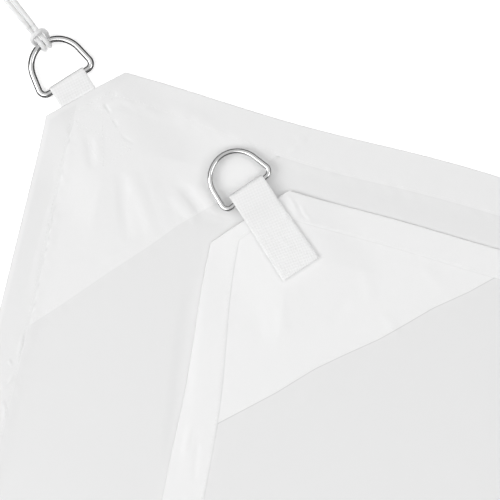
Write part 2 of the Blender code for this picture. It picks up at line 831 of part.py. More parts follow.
def add_cord(frame, look):
    place = hitch_matrix()
    half = [Vector(p) * MM for p in HITCH_ROUTE]
    whole = half + [Vector((-p.x, p.y, p.z)) for p in reversed(half[:-1])]
    route = smooth_route(whole, HITCH_STEP)
    hitch = add_object("cord_hitch", tube("cord_hitch", route, CORD, CORD_SIDES), look, frame)
    hitch.matrix_local = place
    _, half_height, length = knot_sizes()
    knot_height = half_height - place.translation.z
    for side, label in ((-1, "left"), (1, "right")):
        route = smooth_route(strand_route(side, knot_height), STRAND_STEP)
        strand = add_object(f"cord_{label}", tube(f"cord_{label}", route, CORD, CORD_SIDES), look, frame)
        strand.matrix_local = place
    knot = add_object("cord_knot", knot_mesh("cord_knot"), look, frame)
    start = HITCH_ROUTE[0][1] * MM + GAP + STRAND_LENGTH + GAP
    at_knot = place @ Matrix.Translation((0, start, knot_height))
    knot.matrix_local = at_knot
    for side in (-1, 1):
        add_tail(knot, at_knot, side * STRAND_APART, length, frame)


def add_tail(knot, at_knot, aside, length, frame):
    """Joins the short end of one strand to the knot."""
    radius = CORD / 2
    depth = KNOT_TAIL + TAIL_INSIDE
    mesh = bmesh.new()
    form = bpy.data.meshes.new("tail_form")
    bmesh.ops.create_cone(mesh, cap_ends=True, segments=8, radius1=radius, radius2=radius, depth=depth)
    mesh.to_mesh(form)
    mesh.free()
    tail = bpy.data.objects.new("tail_form", form)
    bpy.context.scene.collection.objects.link(tail)
    tail.parent = frame
    middle = Matrix.Translation((aside, length + (KNOT_TAIL - TAIL_INSIDE) / 2, 0))
    tail.matrix_local = at_knot @ middle @ Matrix.Rotation(math.pi / 2, 4, "X")
    tail.hide_render = True
    tail.display_type = "WIRE"
    union = knot.modifiers.new("tail", "BOOLEAN")
    union.operation = "UNION"
    union.solver = "EXACT"
    union.object = tail


def main():
    for thing in list(bpy.data.objects):
        bpy.data.objects.remove(thing)
    frame = bpy.data.objects.new("sail_frame", None)
    bpy.context.scene.collection.objects.link(frame)
    frame.location = -ORIGIN
    cloth = material("white coated polyester", (0.86, 0.86, 0.86), 0.55)
    patch = material("white patch cloth", (0.88, 0.88, 0.88), 0.6)
    webbing = material("white webbing", (0.87, 0.87, 0.87), 0.8)
    steel = material("polished steel", (0.72, 0.72, 0.72), 0.12, 1.0)
    cord = material("white cord", (0.88, 0.88, 0.88), 0.75)
    add_cloth(frame, cloth, patch)
    for name in CORNERS:
        add_strap(name, frame, webbing)
        add_ring(name, frame, steel)
    add_cord(frame, cord)


main()
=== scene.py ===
"""Looks of a square shade sail of white coated polyester, folded once over itself.

The flat pattern has x along the top side from corner A to corner B and y upwards, so the cloth lies
at y < 0. The left half lies face up, and the right half is turned over on top of it. A corner's own
coordinates are a, along the top or bottom side, and b, along the left or right side. The sheet, its
patches, webbing, rings, seams and cord are all laid out in that pattern, and then moved to the
frame. Lengths are in metres.
"""

import math

import bmesh
import bpy
import numpy as np
from mathutils import Matrix, Vector
from mathutils.geometry import delaunay_2d_cdt

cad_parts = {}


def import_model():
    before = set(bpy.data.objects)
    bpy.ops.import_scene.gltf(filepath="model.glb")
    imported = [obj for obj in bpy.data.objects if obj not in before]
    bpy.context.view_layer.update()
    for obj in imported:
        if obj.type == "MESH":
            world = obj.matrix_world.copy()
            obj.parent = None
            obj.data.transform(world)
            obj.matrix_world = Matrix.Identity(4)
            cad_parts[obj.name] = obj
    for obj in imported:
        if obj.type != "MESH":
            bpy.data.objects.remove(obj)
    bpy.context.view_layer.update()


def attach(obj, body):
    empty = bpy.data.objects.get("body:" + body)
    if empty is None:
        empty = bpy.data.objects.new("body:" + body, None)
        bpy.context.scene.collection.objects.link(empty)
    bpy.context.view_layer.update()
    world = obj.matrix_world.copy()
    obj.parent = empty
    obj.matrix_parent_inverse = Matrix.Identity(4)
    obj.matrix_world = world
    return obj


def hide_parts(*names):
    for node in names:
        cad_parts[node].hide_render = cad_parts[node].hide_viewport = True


MM = 0.001

# ---------------------------------------------------------------- sizes

# Cloth
SIDE = 2000 * MM
HOLLOW = 9 * MM  # how far each side curves in at its middle
CLOTH = 0.3 * MM
GAP = 0.06 * MM
LAYER = CLOTH + GAP
HEM_AT_CORNER = 21 * MM
HEM_GROWS = (30 * MM, 250 * MM)
TIP_HEM = 10 * MM
PATCH_GAP = 0.05 * MM
EDGE_ROUND = 0.6 * MM
SHOULDER = 0.6 * MM  # width of the rounded edge along a hem's inner line
SHOULDER_DROP = 0.2 * MM

# Corners: place in the flat pattern, legs of the cut-off tip and of the patch and the hem's widths,
# along a and b in mm. Then the webbing's turn from side a in degrees, its shift towards side a and
# its reach out of the tip in mm, its folded length, and the ring's turn from it in degrees.
CORNERS = {
    "A": dict(
        at=(0, 0), tip=(51, 49), patch=(216, 234), hem=(30, 26),
        turn=2.0, shift=-5.2, reach=19, webbing=78, ring_turn=0.0,
    ),
    "B": dict(
        at=(1, 0), tip=(54, 58), patch=(251, 219), hem=(22, 32),
        turn=2.5, shift=10, reach=22.5, webbing=78, ring_turn=8.0,
    ),
    "C": dict(
        at=(0, -1), tip=(50, 51), patch=(226, 222), hem=(27, 28),
        turn=-1.5, shift=3, reach=19, webbing=78, ring_turn=-2.0,
    ),
    "D": dict(
        at=(1, -1), tip=(52, 50), patch=(223, 230), hem=(29, 27),
        turn=1.5, shift=-3, reach=21, webbing=80, ring_turn=-3.0,
    ),
}
LOWER = ("A", "C")
UPPER = ("B", "D")

# Broad waves of the sides, in mm, and where they fade out along the side
EDGE_WAVES = (
    # corner, side, moves in, crest, length
    ("A", "a", 1.5, 190, 250),
    ("B", "a", 0.7, 228, 170),
    ("B", "b", 0.9, 168, 160),
)
WAVES_FADE = (330 * MM, 520 * MM)

# How far each patch's diagonal wanders into the cloth, in mm, from side b's end, 0, to side a's, 1
PATCH_BOWS = {
    "A": (
        (0, 4.6), (0.22, 4.2), (0.35, 2.9), (0.47, 2.6), (0.56, 1.0),
        (0.68, 2.9), (0.77, 2.4), (0.84, -3.0), (0.95, -3.2), (1, -1.2),
    ),
    "B": (
        (0, 0.8), (0.12, 1.2), (0.29, 0.8), (0.40, -1.6), (0.48, -0.6), (0.57, 1.2),
        (0.64, 0.6), (0.72, -0.4), (0.81, 1.6), (0.9, 1.2), (1, 2.0),
    ),
    "C": ((0, 0.5), (0.24, -0.9), (0.45, 0.6), (0.7, -0.4), (1, 0.8)),
    "D": ((0, -0.4), (0.3, 1.0), (0.55, -0.7), (0.8, 0.5), (1, -0.2)),
}

# Fold
B_LIES_AT = (145.2 * MM, -53.4 * MM)
FOLD_LIFT = 9.5 * MM
FOLD_SETTLES = 70 * MM
LAYER_LIFT = 0.45 * MM
EDGE_LIFT = 0.05 * MM
EDGE_CURL = 70 * MM
TOP_SIDE_BOW = 19.5 * MM
REST = 9 * MM  # the cloth comes down from a hem or a patch over this length
STRAP_REST = 42 * MM

LOOSE = 0.7 * MM  # the lower half lies this far off the floor inside its edge
LOOSE_FROM = 28 * MM
PUCKER = 0.12 * MM
PUCKER_LENGTH = 11 * MM
SEAM_PUCKERS = (1 * MM, 6 * MM)  # how far inside a seam they are highest, and how wide they reach
WAVER_SEED = 7
WAVER_WAVES = 9
WAVER_LENGTHS = (0.75, 1.6)  # shortest and longest wave, by the length asked for

# Webbing
WEB = 1.2 * MM
WEB_WIDTH = 30.5 * MM
WEB_SPREADS = 0.09  # how much wider the upper corners' webbing is at its sewn end
WEB_GAP = 0.12 * MM
STRAP_STACK = 2 * (WEB + WEB_GAP)
STRAP_MARGIN = 1.5 * MM
TIP_HEIGHT = CLOTH + LAYER + 3.1 * MM  # of the face at a turned-over tip, where its webbing is
LEG_LEVELS_OUT = 1.5 * MM
LEG_RISES_FROM = -14 * MM  # where the upper leg starts to rise to the ring's bar
LOOP_NECK = 2.25 * MM  # the legs run straight over this length before the loop
STRAP_STEPS = (12, 16, 24)  # along the lower leg's rise, the loop and the upper leg's rise
STRAP_STEP = 0.6 * MM
STRAP_COLUMNS = 40
STRAP_EDGE = 24  # the more, the squarer its edges

# Ring
WIRE = 4.8 * MM
RING_HALF_BAR = 18 * MM
RING_CORNER = 5 * MM
RING_ARCH = 21 * MM
RING_DEPTH = 35 * MM
LOOP_RADIUS = 3.15 * MM
BAR_HEIGHT = {"A": 3.75 * MM, "B": 7.2 * MM, "C": 3.75 * MM, "D": 4.6 * MM}
ARCH_HEIGHT = {"A": 6.15 * MM, "B": 6.4 * MM, "C": 2.7 * MM, "D": 2.7 * MM}
RING_STEPS = (12, 40)  # round a corner, and round half the arch
RING_STEP = 0.7 * MM
RING_SIDES = 24

# Cord
CORD = 3.6 * MM
STRAND = 4 * MM  # the two free strands are rounder than in the hitch and the knot
STRAND_APART = 1.95 * MM
STRAND_LENGTH = 96 * MM
STRAND_SPREAD = 0.35 * MM
STRAND_START = 0.02 * MM  # the gap between the hitch's ends and the strands
STRAND_STEP = 3 * MM
CORD_TURN = 6.0  # degrees from the ring's middle line
CORD_STEP = 0.4 * MM
CORD_SIDES = 32
KNOT_WRAPS = 3
KNOT_TAIL = 13 * MM
KNOT_STEP = 0.45 * MM
KNOT_SIDES = 28
WRAP = CORD + 0.3 * MM  # from one wrap of the knot to the next
WRAP_POINTS = 24
WRAP_TIGHT = 0.98
KNOT_LENGTH = KNOT_WRAPS * WRAP
KNOT_HALF_HEIGHT = CORD / 2 + WRAP
BRAID_PITCH = 13 * MM
YARNS = 8  # that run each way
YARN_HEIGHT = 0.22 * MM
YARN_LEVEL = 0.75  # the share of a yarn's height that lies within the cord's diameter
GROOVE_SHADE_DEPTH = 0.16 * MM  # the depth where the painted shade in the grooves is darkest
BRAID_SHARP = 80.0

# The hitch's left half in mm: across, outwards along the cord, and up, from the ring's arch
HITCH_ROUTE = (
    (-1.95, 15.0, 2.3), (-1.95, 10.5, 2.9), (-1.95, 6.5, 3.7), (-2.0, 2.8, 4.3),
    (-2.05, -0.6, 4.35), (-2.1, -3.4, 3.0), (-2.2, -4.55, 0.0), (-2.7, -3.5, -2.9),
    (-3.9, -0.6, -4.2), (-5.2, 2.4, -3.6), (-6.0, 4.3, -1.2), (-6.2, 5.3, 1.8),
    (-5.8, 6.3, 4.7), (-4.4, 7.1, 6.9), (-2.2, 7.4, 7.9), (0.0, 7.4, 8.1),
)

# Soft folds of the cloth where it lies, in mm
SOFT_FOLDS = {
    # x0, y0, x1, y1, half width, height
    "lower": (
        (60, -420, 20, -900, 90, 5.0),
        (40, -1180, 150, -1560, 80, 4.0),
    ),
    "upper": (
        (430, -330, 640, -820, 110, 5.0),
        (1000, -160, 560, -330, 120, 6.0),
        (980, -620, 520, -1120, 130, 7.0),
        (240, -760, 330, -1240, 100, 5.0),
        (1040, -1230, 700, -1500, 120, 7.0),
        (420, -1500, 760, -1860, 120, 6.0),
    ),
}

# The length over which they grow in from the hem's line, and the share that is passed at the line
FOLDS_FADE = {"lower": (26 * MM, 0.35), "upper": (EDGE_CURL, 0.3)}

# Creases of the cloth where it lies, in mm: the points along each, its half width and its height
LOWER_CREASES = (
    (((20.5, -46.3), (26.7, -65.5)), 4.6, -0.45),
    (((35.9, -53.5), (41, -66.6), (46.8, -79.5)), 5.6, -0.55),
    (((43.1, -50), (50.4, -72.1)), 6, 0.3),
    (((16.2, -73.1), (16.5, -95.4), (15.8, -126), (15.4, -155.8), (20, -194.7)), 7.8, -0.65),
    (((68.2, -75.5), (78.8, -107.2), (88.3, -127.9)), 7, -0.65),
    (((73.4, -71), (92.5, -98), (107, -119.8)), 8.5, 0.85),
    (((82.4, -64.8), (101.5, -91.7), (116, -113.5)), 11, 0.5),
    (((41.9, -27.1), (48.2, -33.1)), 1.9, -0.4),
    (((47.2, -26), (60.6, -25.2), (75.1, -25.5)), 5.5, -0.4),
    (((47.8, -16), (46.9, -23.4)), 2, -0.2),
    (((51.8, -37.3), (57.1, -42.4)), 2.2, -0.2),
    (((60.9, -47.8), (73.2, -51.8)), 2.4, -0.2),
    (((186, -29.5), (195.2, -19.1), (205.5, -8.2)), 2.6, 0.3),
    (((104.6, -70.8), (121.2, -76.1), (132.8, -86.7), (146.2, -92), (165.7, -90.1)), 6.2, -0.68),
    (((121.5, -68), (135.7, -76.3), (146.7, -84.6)), 7, 0.6),
    (((110.2, -81.2), (122.5, -89), (133.4, -97)), 7.2, 0.85),
    (((131.4, -96.6), (146, -94.4), (160.5, -94.6)), 10.1, -0.5),
    (((143.9, -138.2), (150.6, -188.6), (157.9, -234.7), (165.3, -296.9)), 11, -0.95),
    (((87.8, -15.9), (116.8, -19.5), (132.3, -23.5)), 8.5, 0.35),
    (((70.1, -147.1), (84.2, -133.8), (99.1, -117.1)), 5.4, 0.35),
    (((25.7, -216.1), (26.5, -225.5), (26.2, -233.5)), 2.2, 0.42),
    (((20, -238.5), (23.3, -242.4)), 1.9, 0.38),
    (((27.4, -249.3), (24.6, -256.5), (18.8, -262)), 2.1, 0.42),
    (((23.1, -269.7), (27.5, -276.6), (29, -285.8)), 2.3, 0.42),
)
UPPER_CREASES = (
    (((210.6, -139.2), (224.1, -166.1)), 7.5, 0.3),
    (((269.2, -99.8), (282.6, -123.6)), 7.5, 0.32),
    (((291.4, -129.3), (310.7, -145.1)), 6.2, 0.4),
    (((247.5, -212.9), (260.5, -195.1)), 5.4, 0.35),
    (((197, -59.5), (203, -64.6), (207.6, -68.9)), 2.2, 0.24),
    (((204.8, -62.3), (210.7, -70.1), (219, -76.1)), 2.6, -0.18),
    (((210.1, -64.2), (214.5, -70.9), (221.5, -75.2)), 2.5, 0.2),
    (((198.5, -68.8), (204.6, -72.1), (209.4, -79.4)), 2.6, -0.16),
    (((170.1, -254), (170.4, -276.3)), 3.9, 0.35),
    (((178.5, -261.4), (183.7, -293.7)), 3.5, -0.3),
    (((265, -126.6), (254.3, -147)), 7, -0.35),
    (((194.5, -145), (207.8, -177.6)), 7, -0.2),
    (((310, -84.4), (335.4, -101.8)), 7, 0.3),
)
CREASES = {"lower": LOWER_CREASES, "upper": UPPER_CREASES}
CREASE_STEP = 1.1  # mm between points along a narrow crease, more along a wide one
CREASE_ROWS = (-1, -0.6, -0.25, 0.1, 0.45, 0.8)  # rows of points, by the half width
CREASE_ENDS = 5  # the more, the steeper a crease starts and ends
CREASES_FROM = 10 * MM  # the lower half's fade over this length from the edge
LEAST_AIR = 0.02 * MM  # under the lower half's hollows

# Points of the sheet
VIEW_STEP = 4.8 * MM  # by the two corners that show
VIEW_REACH = 430 * MM
TIP_STEP = 2.3 * MM  # round the webbing of those corners
TIP_REACH = 95 * MM
SEAM_STEP = 2.6 * MM  # beside their seams
SEAM_REACH = 9 * MM
WIDE_STEP = 20 * MM
WIDE_CLEAR = WIDE_STEP / 3  # least distance of the wide points from the closer ones
TIP_CLEAR = TIP_STEP / 3  # least distance of any point from the lines of the pattern
FOLD_STEPS = 14
FOLD_ABOVE = 3  # steps that the fold's points go on past the top side
FOLD_LENGTH = 1.1  # and down the cloth, by its side
EDGE_ROWS = (0.1 * MM, 0.3 * MM, 0.6 * MM)  # rows of points along the rounded edge
MEETS_ROUNDS = 12  # until the place where two lines meet has settled
TRIANGLES_INSIDE = 1  # the kind of result that leaves out what is outside the outlines
SAME_PLACE = 1e-7  # points closer than this become one

# Seams
SEAM_INSIDE = 2.0 * MM  # from a hem's or a patch's edge to its stitches
STITCH_PITCH = 3.2 * MM
STITCH_LENGTH = 2.6 * MM
STITCH_VARIES = {2: 0.86, 3: 1.06, 8: 5}  # sockets: least and most share of its length, and seed
THREAD = 0.36 * MM
THREAD_FLAT = 0.9  # its height by its width
THREAD_LIFT = 0.02 * MM  # above the sheet
BOX_LIFT = 0.05 * MM  # above the upper corners' webbing
BOX_END = 4 * MM  # from the webbing's sewn end
BOX_SIDE = 3 * MM  # from its long edges
ON_DIAGONAL = 0.3 * MM  # a patch's points this close to its diagonal belong to it
SEAM_LINE_STEP = 1.6 * MM

# Finish of the cloth: greys, spans across a line, and shares of one grey mixed into another
SINGLE = 0.80
DOUBLED = (0.845, 0.866)  # seen from the face, and from the reverse side
LAYER_SHOWS = (-0.3 * MM, 0.3 * MM)  # across the line where a second layer starts
LEFT_HEM_SHADE = 0.85  # painted shade: the left hem, where it curls, lightens the face less than the others
RIM = ((0.6 * MM, 1.2 * MM), (2.5 * MM, 5 * MM))  # where the left hem is spared its painted shade, from the edge
SEAM_SHADOW_SPANS = ((-0.2 * MM, 0.05 * MM), (0.1 * MM, 0.9 * MM))  # painted shadow: the dark line at the foot of a layer
PATCH_SHADOW_FROM = (0, 0.3 * MM)  # from the hem's line, where the patch's painted shadow starts
HEM_SHADOW_SHARES = (0.02, 0.05, 0.14)  # shares of painted shadow on the face, and more on the reverse side and at the left hem
PATCH_SHADOW_SHARES = (0.03, 0.3)  # shares of painted shadow on the face, and more on the reverse side
# grey of the painted shadow at the foot of a hem or a patch
SEAM_SHADOW_GREY = 0.3
EDGE_SHADE_SPAN = (0.2 * MM, 0.9 * MM)  # painted shade, across the folded edge
EDGE_SHADE = 0.1
PAINTED_SHADE_GREY = 0.45  # painted shade: grey of the cloth's folded edge and of the webbing where it turns round the bar
MOTTLE_SHARES = (0.03, 0.12)  # its middle and its range
MOTTLE_GREY = 0.70
CLOTH_ROUGHNESS = (0.5, 0.12)  # least, and more in the mottle
CLOTH_THREAD = 0.62 * MM
CLOTH_BUMPS = (0.08, 0.5)  # height of the weave, and of the finest crumples

# Finishes of the webbing, steel, thread and cord
WEB_CORDS = 1.55 * MM
WEB_SHADE_GREYS = (0.80, 0.99)  # painted shade between its cords, and the grey on them
WEB_TURN = (0.3 * MM, 1.8 * MM)  # painted shade, across the line where it turns round the bar
WEB_TURN_SHADE = 0.8
UPPER_SHADE_FINER = 5  # how much finer that painted shade line is at the upper corners
STEEL_GREYS = (0.70, 0.80)
STEEL_ROUGHNESS = (0.06, 0.08)  # least, and more in the polishing marks
POLISH = (40.0, 2500.0, 1.0)  # how close together those marks are, along the wire and round it
THREAD_GREYS = (0.88, 0.95)
CORD_SHADE_GREYS = (0.80, 0.75)  # on the yarns, and painted shade in the grooves
YARN_SHADE = 0.12
YARN_GREY = 0.72

# The photograph's view: straight down, turned with the cloth
VIEW_TURN = math.radians(14.66)
VIEW_CENTRE = Vector((180.2 * MM, -108.7 * MM, 5 * MM))
VIEW_DISTANCE = 1000 * MM
VIEW_WIDTH = 387.6 * MM
SENSOR = 36.0
CLIP = (0.05, 100)

# Stage: directions are given by the photograph's right and up
LIGHTS = (
    # name, direction, height, distance, size, power, casts shadows
    ("key", (-0.98, -0.21), 3.5, 4.2, 2.7, 70, True),
    ("panel", (-0.82, -0.57), 3.15, 2.47, 4.08, 76, False),
    ("low_panel", (0.956, -0.292), 1.6, 1.6, 0.96, 6.2, True),
)
CEILING = 0.628
HORIZON = 0.025
CEILING_FROM = (0.28, 0.68)  # by height above the horizon
WORLD_SIDES = (
    # direction, its level and upward parts, where it starts and is whole, grey
    ((0.9, 0.35), 0.8, 0.6, (0.3, 1.0), 0.81),
    ((0.3, -0.95), 0.9, 0.44, (0.72, 0.94), 0.23),
)
FLOOR_REACH = 30
FLOOR_LEVEL = -0.5 * MM
FLOOR_GREYS = (0.9, 0.03)  # to the camera, and to the steel
FLOOR_GLOW = 0.4

ORIGIN = Vector((552.7 * MM, -1028.5 * MM, 0))  # the frame's origin in the flat pattern


# ---------------------------------------------------------------- the flat pattern


def smooth(t):
    t = np.clip(t, 0.0, 1.0)
    return t * t * (3 - 2 * t)


def ramp(value, start, end):
    """0 up to start and 1 from end, eased between."""
    return smooth((value - start) / (end - start))


def left_of(direction):
    return Vector((-direction.y, direction.x))


def corner_axes(name):
    """A corner's flat position, and its unit vectors along a and b."""
    column, row = CORNERS[name]["at"]
    along_a = Vector((1 - 2 * column, 0))
    along_b = Vector((0, -1 - 2 * row))
    return Vector((column * SIDE, row * SIDE)), along_a, along_b


def from_corner(name, a, b):
    at, along_a, along_b = corner_axes(name)
    return at + along_a * a + along_b * b


def corner_coordinates(name, x, y):
    at, along_a, along_b = corner_axes(name)
    return (x - at.x) * along_a.x, (y - at.y) * along_b.y


def other_end(name, side):
    """The corner at the other end of a corner's side a or b."""
    column, row = CORNERS[name]["at"]
    there = (1 - column, row) if side == "a" else (column, -1 - row)
    return next(other for other in CORNERS if CORNERS[other]["at"] == there)


def edge_inset(name, side, along):
    """How far a side's edge lies inside the straight line between its corners."""
    q = np.clip(along / SIDE, 0.0, 1.0)
    depth = 4 * HOLLOW * q * (1 - q)
    for corner, which, moves_in, crest, length in EDGE_WAVES:
        if which != side or corner not in (name, other_end(name, side)):
            continue
        here = along if corner == name else SIDE - along
        wave = np.cos(2 * math.pi * (here - crest * MM) / (length * MM))
        depth = depth + moves_in * MM * (1 - ramp(here, *WAVES_FADE)) * wave
    return depth


def hem_width(name, side, along):
    index = "ab".index(side)
    own = CORNERS[name]["hem"][index] * MM
    other = CORNERS[other_end(name, side)]["hem"][index] * MM
    width = own + (other - own) * smooth(along / SIDE)
    grown = ramp(np.minimum(along, SIDE - along), *HEM_GROWS)
    return HEM_AT_CORNER + (width - HEM_AT_CORNER) * grown


def hem_inset(name, side, along):
    return edge_inset(name, side, along) + hem_width(name, side, along)


def patch_inset(name, side, along):
    return hem_inset(name, side, along) + PATCH_GAP


def moved_in(legs, distance):
    """The legs, in mm, of a line across a corner, once it is moved into the cloth, in metres."""
    leg_a, leg_b = (leg * MM for leg in legs)
    grows = 1 + distance * math.hypot(leg_a, leg_b) / (leg_a * leg_b)
    return leg_a * grows, leg_b * grows


def beyond_line(name, line, x, y):
    """Distance into the cloth from a line across a corner: the tip's cut or patch's diagonal."""
    leg_a, leg_b = moved_in(CORNERS[name][line], 0)
    a, b = corner_coordinates(name, x, y)
    return (a / leg_a + b / leg_b - 1) * leg_a * leg_b / math.hypot(leg_a, leg_b)


def inside(x, y, inset, tip_depth):
    """Distance inside a line round the cloth, negative outside it."""
    depths = []
    for name, side in (("A", "a"), ("C", "a"), ("A", "b"), ("B", "b")):
        a, b = corner_coordinates(name, x, y)
        along, inwards = (a, b) if side == "a" else (b, a)
        depths.append(inwards - inset(name, side, along))
    for name in CORNERS:
        depths.append(beyond_line(name, "tip", x, y) - tip_depth)
    return np.minimum.reduce(depths)


def inside_edge(x, y):
    return inside(x, y, edge_inset, 0)


def inside_hem(x, y):
    return inside(x, y, hem_inset, TIP_HEM)


def patch_bow(name, t):
    return np.interp(t, *zip(*PATCH_BOWS[name])) * MM


def patch_depth(x, y):
    """Distance inside the nearest patch's diagonal, towards the corner."""
    depths = []
    for name in CORNERS:
        a, b = corner_coordinates(name, x, y)
        leg_a, leg_b = CORNERS[name]["patch"]
        t = a * leg_b / np.maximum(a * leg_b + b * leg_a, MM)
        depths.append(patch_bow(name, t) - beyond_line(name, "patch", x, y))
    return np.maximum.reduce(depths)


def meets(name, side, inset, legs):
    """Where a line inside a side meets a line across the corner: its distance along the side."""
    leg, other_leg = legs if side == "a" else reversed(legs)
    along = leg
    for _ in range(MEETS_ROUNDS):
        along = leg * (1 - float(inset(name, side, along)) / other_leg)
    return along


def stations(name, side):
    """Distances along a side from a corner, close together by the corners that show."""
    here, there = (corner in "AB" for corner in (name, other_end(name, side)))
    found = []
    at = 0.0
    while at < SIDE:
        found.append(at)
        close = (here and at < VIEW_REACH) or (there and SIDE - at < VIEW_REACH)
        at += VIEW_STEP if close else WIDE_STEP
    return found


def side_points(name, side, inset, start, end):
    clear = VIEW_STEP / 2
    between = [s for s in stations(name, side) if start + clear < s < end - clear]
    points = []
    for s in [start, *between, end]:
        place = (s, float(inset(name, side, s)))
        points.append(from_corner(name, *(place if side == "a" else place[::-1])))
    return points


def line_between(start, end, step):
    count = max(1, round((end - start).length / step))
    return [start.lerp(end, k / count) for k in range(1, count)]


def ring_of_points(inset, tip_depth, further=0.0):
    """Points round the cloth, a distance further in than a line, clockwise from corner A."""

    def line(*place):
        return inset(*place) + further

    tip_depth += further
    points = []
    for name, side in (("A", "a"), ("B", "b"), ("D", "a"), ("C", "b")):
        other = other_end(name, side)
        start = meets(name, side, line, moved_in(CORNERS[name]["tip"], tip_depth))
        end = SIDE - meets(other, side, line, moved_in(CORNERS[other]["tip"], tip_depth))
        found = side_points(name, side, line, start, end)
        if points:
            points += line_between(points[-1], found[0], VIEW_STEP)
        points += found
    return points + line_between(points[-1], points[0], VIEW_STEP)


def patch_outline(name):
    """The patch inside the hem: out along side a, back along the diagonal and side b."""
    tip = moved_in(CORNERS[name]["tip"], TIP_HEM + PATCH_GAP)
    sides = []
    for side, end in (("a", 1), ("b", 0)):
        patch = moved_in(CORNERS[name]["patch"], float(patch_bow(name, end)))
        start, end = (meets(name, side, patch_inset, legs) for legs in (tip, patch))
        sides.append(side_points(name, side, patch_inset, start, end))
    side_a, side_b = sides
    diagonal = line_between(side_a[-1], side_b[-1], VIEW_STEP)
    _, along_a, along_b = corner_axes(name)
    leg_a, leg_b = CORNERS[name]["patch"]
    inwards = (along_a / leg_a + along_b / leg_b).normalized()
    diagonal = [p + inwards * float(patch_depth(p.x, p.y)) for p in diagonal]
    across_tip = line_between(side_b[0], side_a[0], VIEW_STEP)
    return side_a + diagonal + side_b[::-1] + across_tip


def anticlockwise(loop):
    area = sum(p.cross(q) for p, q in zip(loop, loop[1:] + loop[:1]))
    return loop if area > 0 else loop[::-1]


def fold_line():
    """A point of the fold line, its direction down the cloth, and its normal towards corner B."""
    flat = Vector((SIDE, 0))
    lies = Vector(B_LIES_AT)
    normal = (flat - lies).normalized()
    return (flat + lies) / 2, Vector((normal.y, -normal.x)), normal


def past_fold_line(x, y):
    """Distance of flat points past the fold line, towards corner B."""
    middle, _, normal = fold_line()
    return (x - middle.x) * normal.x + (y - middle.y) * normal.y


def fold_reach():
    """Half the cloth's length round the fold."""
    return math.pi / 2 * (LAYER_LIFT + FOLD_LIFT) / 2


def fold_points():
    """Rows of points along the bend of the fold."""
    middle, down, normal = fold_line()
    reach = fold_reach()
    points = []
    for k in range(FOLD_STEPS + 1):
        base = middle + normal * (reach * (2 * k / FOLD_STEPS - 1))
        for j in range(-FOLD_ABOVE, int(SIDE / WIDE_STEP * FOLD_LENGTH)):
            points.append(base + down * (WIDE_STEP * (j + 0.5 * (k % 2))))
    return points


def flat_tip(name):
    """The middle of the webbing where it crosses a tip's edge, and the way it points, laid flat."""
    row = CORNERS[name]
    _, along_a, along_b = corner_axes(name)
    towards_a = (along_a - along_b).normalized()
    square = -(along_a + along_b).normalized()
    turn = math.radians(row["turn"])
    middle = from_corner(name, *(leg * MM / 2 for leg in row["tip"]))
    middle += towards_a * (row["shift"] * MM)
    return middle, square * math.cos(turn) - towards_a * math.sin(turn)


def from_tip(name, x, y):
    """How far out of a corner's tip a flat point is, and how far aside of its webbing's middle."""
    tip, outwards = flat_tip(name)
    x, y = x - tip.x, y - tip.y
    return x * outwards.x + y * outwards.y, x * outwards.y - y * outwards.x


def strap_on_cloth(name):
    """Length of webbing that lies on the cloth or under it."""
    return (CORNERS[name]["webbing"] - CORNERS[name]["reach"]) * MM


def grid(step, low, high):
    """Points of a triangular grid in a box."""
    rows = np.arange(low[1], high[1], step * math.sqrt(3) / 2)
    found = []
    for k, y in enumerate(rows):
        xs = np.arange(low[0] + step / 2 * (k % 2), high[0], step)
        found.append(np.stack([xs, np.full(len(xs), y)], axis=-1))
    return np.concatenate(found)


def corner_grid(name, step, reach):
    """Points of a grid in a square at a top corner, and their own coordinates there."""
    at, along_a, _ = corner_axes(name)
    low_x = at.x + min(0, along_a.x) * reach
    points = grid(step, (low_x, -reach), (low_x + reach, 0))
    return points, *corner_coordinates(name, points[:, 0], points[:, 1])


def spread_points():
    """Points inside the sheet, closer together where it shows and closest round the webbing."""
    whole = grid(WIDE_STEP, (0, -SIDE), (SIDE, 0))
    kept = np.abs(past_fold_line(whole[:, 0], whole[:, 1])) > fold_reach() + WIDE_CLEAR
    groups = []
    for name in "AB":
        a, b = corner_coordinates(name, whole[:, 0], whole[:, 1])
        kept &= np.maximum(a, b) > VIEW_REACH + WIDE_CLEAR
        near, a, b = corner_grid(name, VIEW_STEP, VIEW_REACH)
        groups.append(near[a + b >= 2 * TIP_REACH])
        tip, a, b = corner_grid(name, TIP_STEP, 2 * TIP_REACH)
        groups.append(tip[a + b < 2 * TIP_REACH])
    groups += [seam_points(), crease_points(), np.array([tuple(p) for p in fold_points()])]
    points = np.concatenate([whole[kept], *groups])
    x, y = points[:, 0], points[:, 1]
    hem = inside_hem(x, y)
    clear = np.minimum(np.abs(hem), inside_edge(x, y) - EDGE_ROWS[-1])
    from_patch = np.where(hem > 0, np.abs(patch_depth(x, y)), SIDE)
    return [Vector(p) for p in points[np.minimum(clear, from_patch) > TIP_CLEAR]]


def seam_points():
    """Closer points beside the seams that show."""
    found = []
    for name in "AB":
        points, a, b = corner_grid(name, SEAM_STEP, VIEW_REACH)
        x, y = points[:, 0], points[:, 1]
        beside = np.minimum(np.abs(inside_hem(x, y)), np.abs(patch_depth(x, y))) < SEAM_REACH
        found.append(points[beside & (a + b > 2 * TIP_REACH)])
    return np.concatenate(found)


def crease_points():
    """Points across and along the creases."""
    found = []
    for half, row in [(half, row) for half in CREASES for row in CREASES[half]]:
        points, half_width, _ = row
        step = max(CREASE_STEP, half_width / 3)
        for start, end in zip(map(Vector, points), map(Vector, points[1:])):
            run = (end - start).normalized()
            for along in np.arange(0, (end - start).length, step):
                for off in CREASE_ROWS:
                    point = (start + run * along + left_of(run) * (off * half_width)) * MM
                    found.append(tuple(point) if half == "lower" else turned_back(*point))
    return np.array(found)


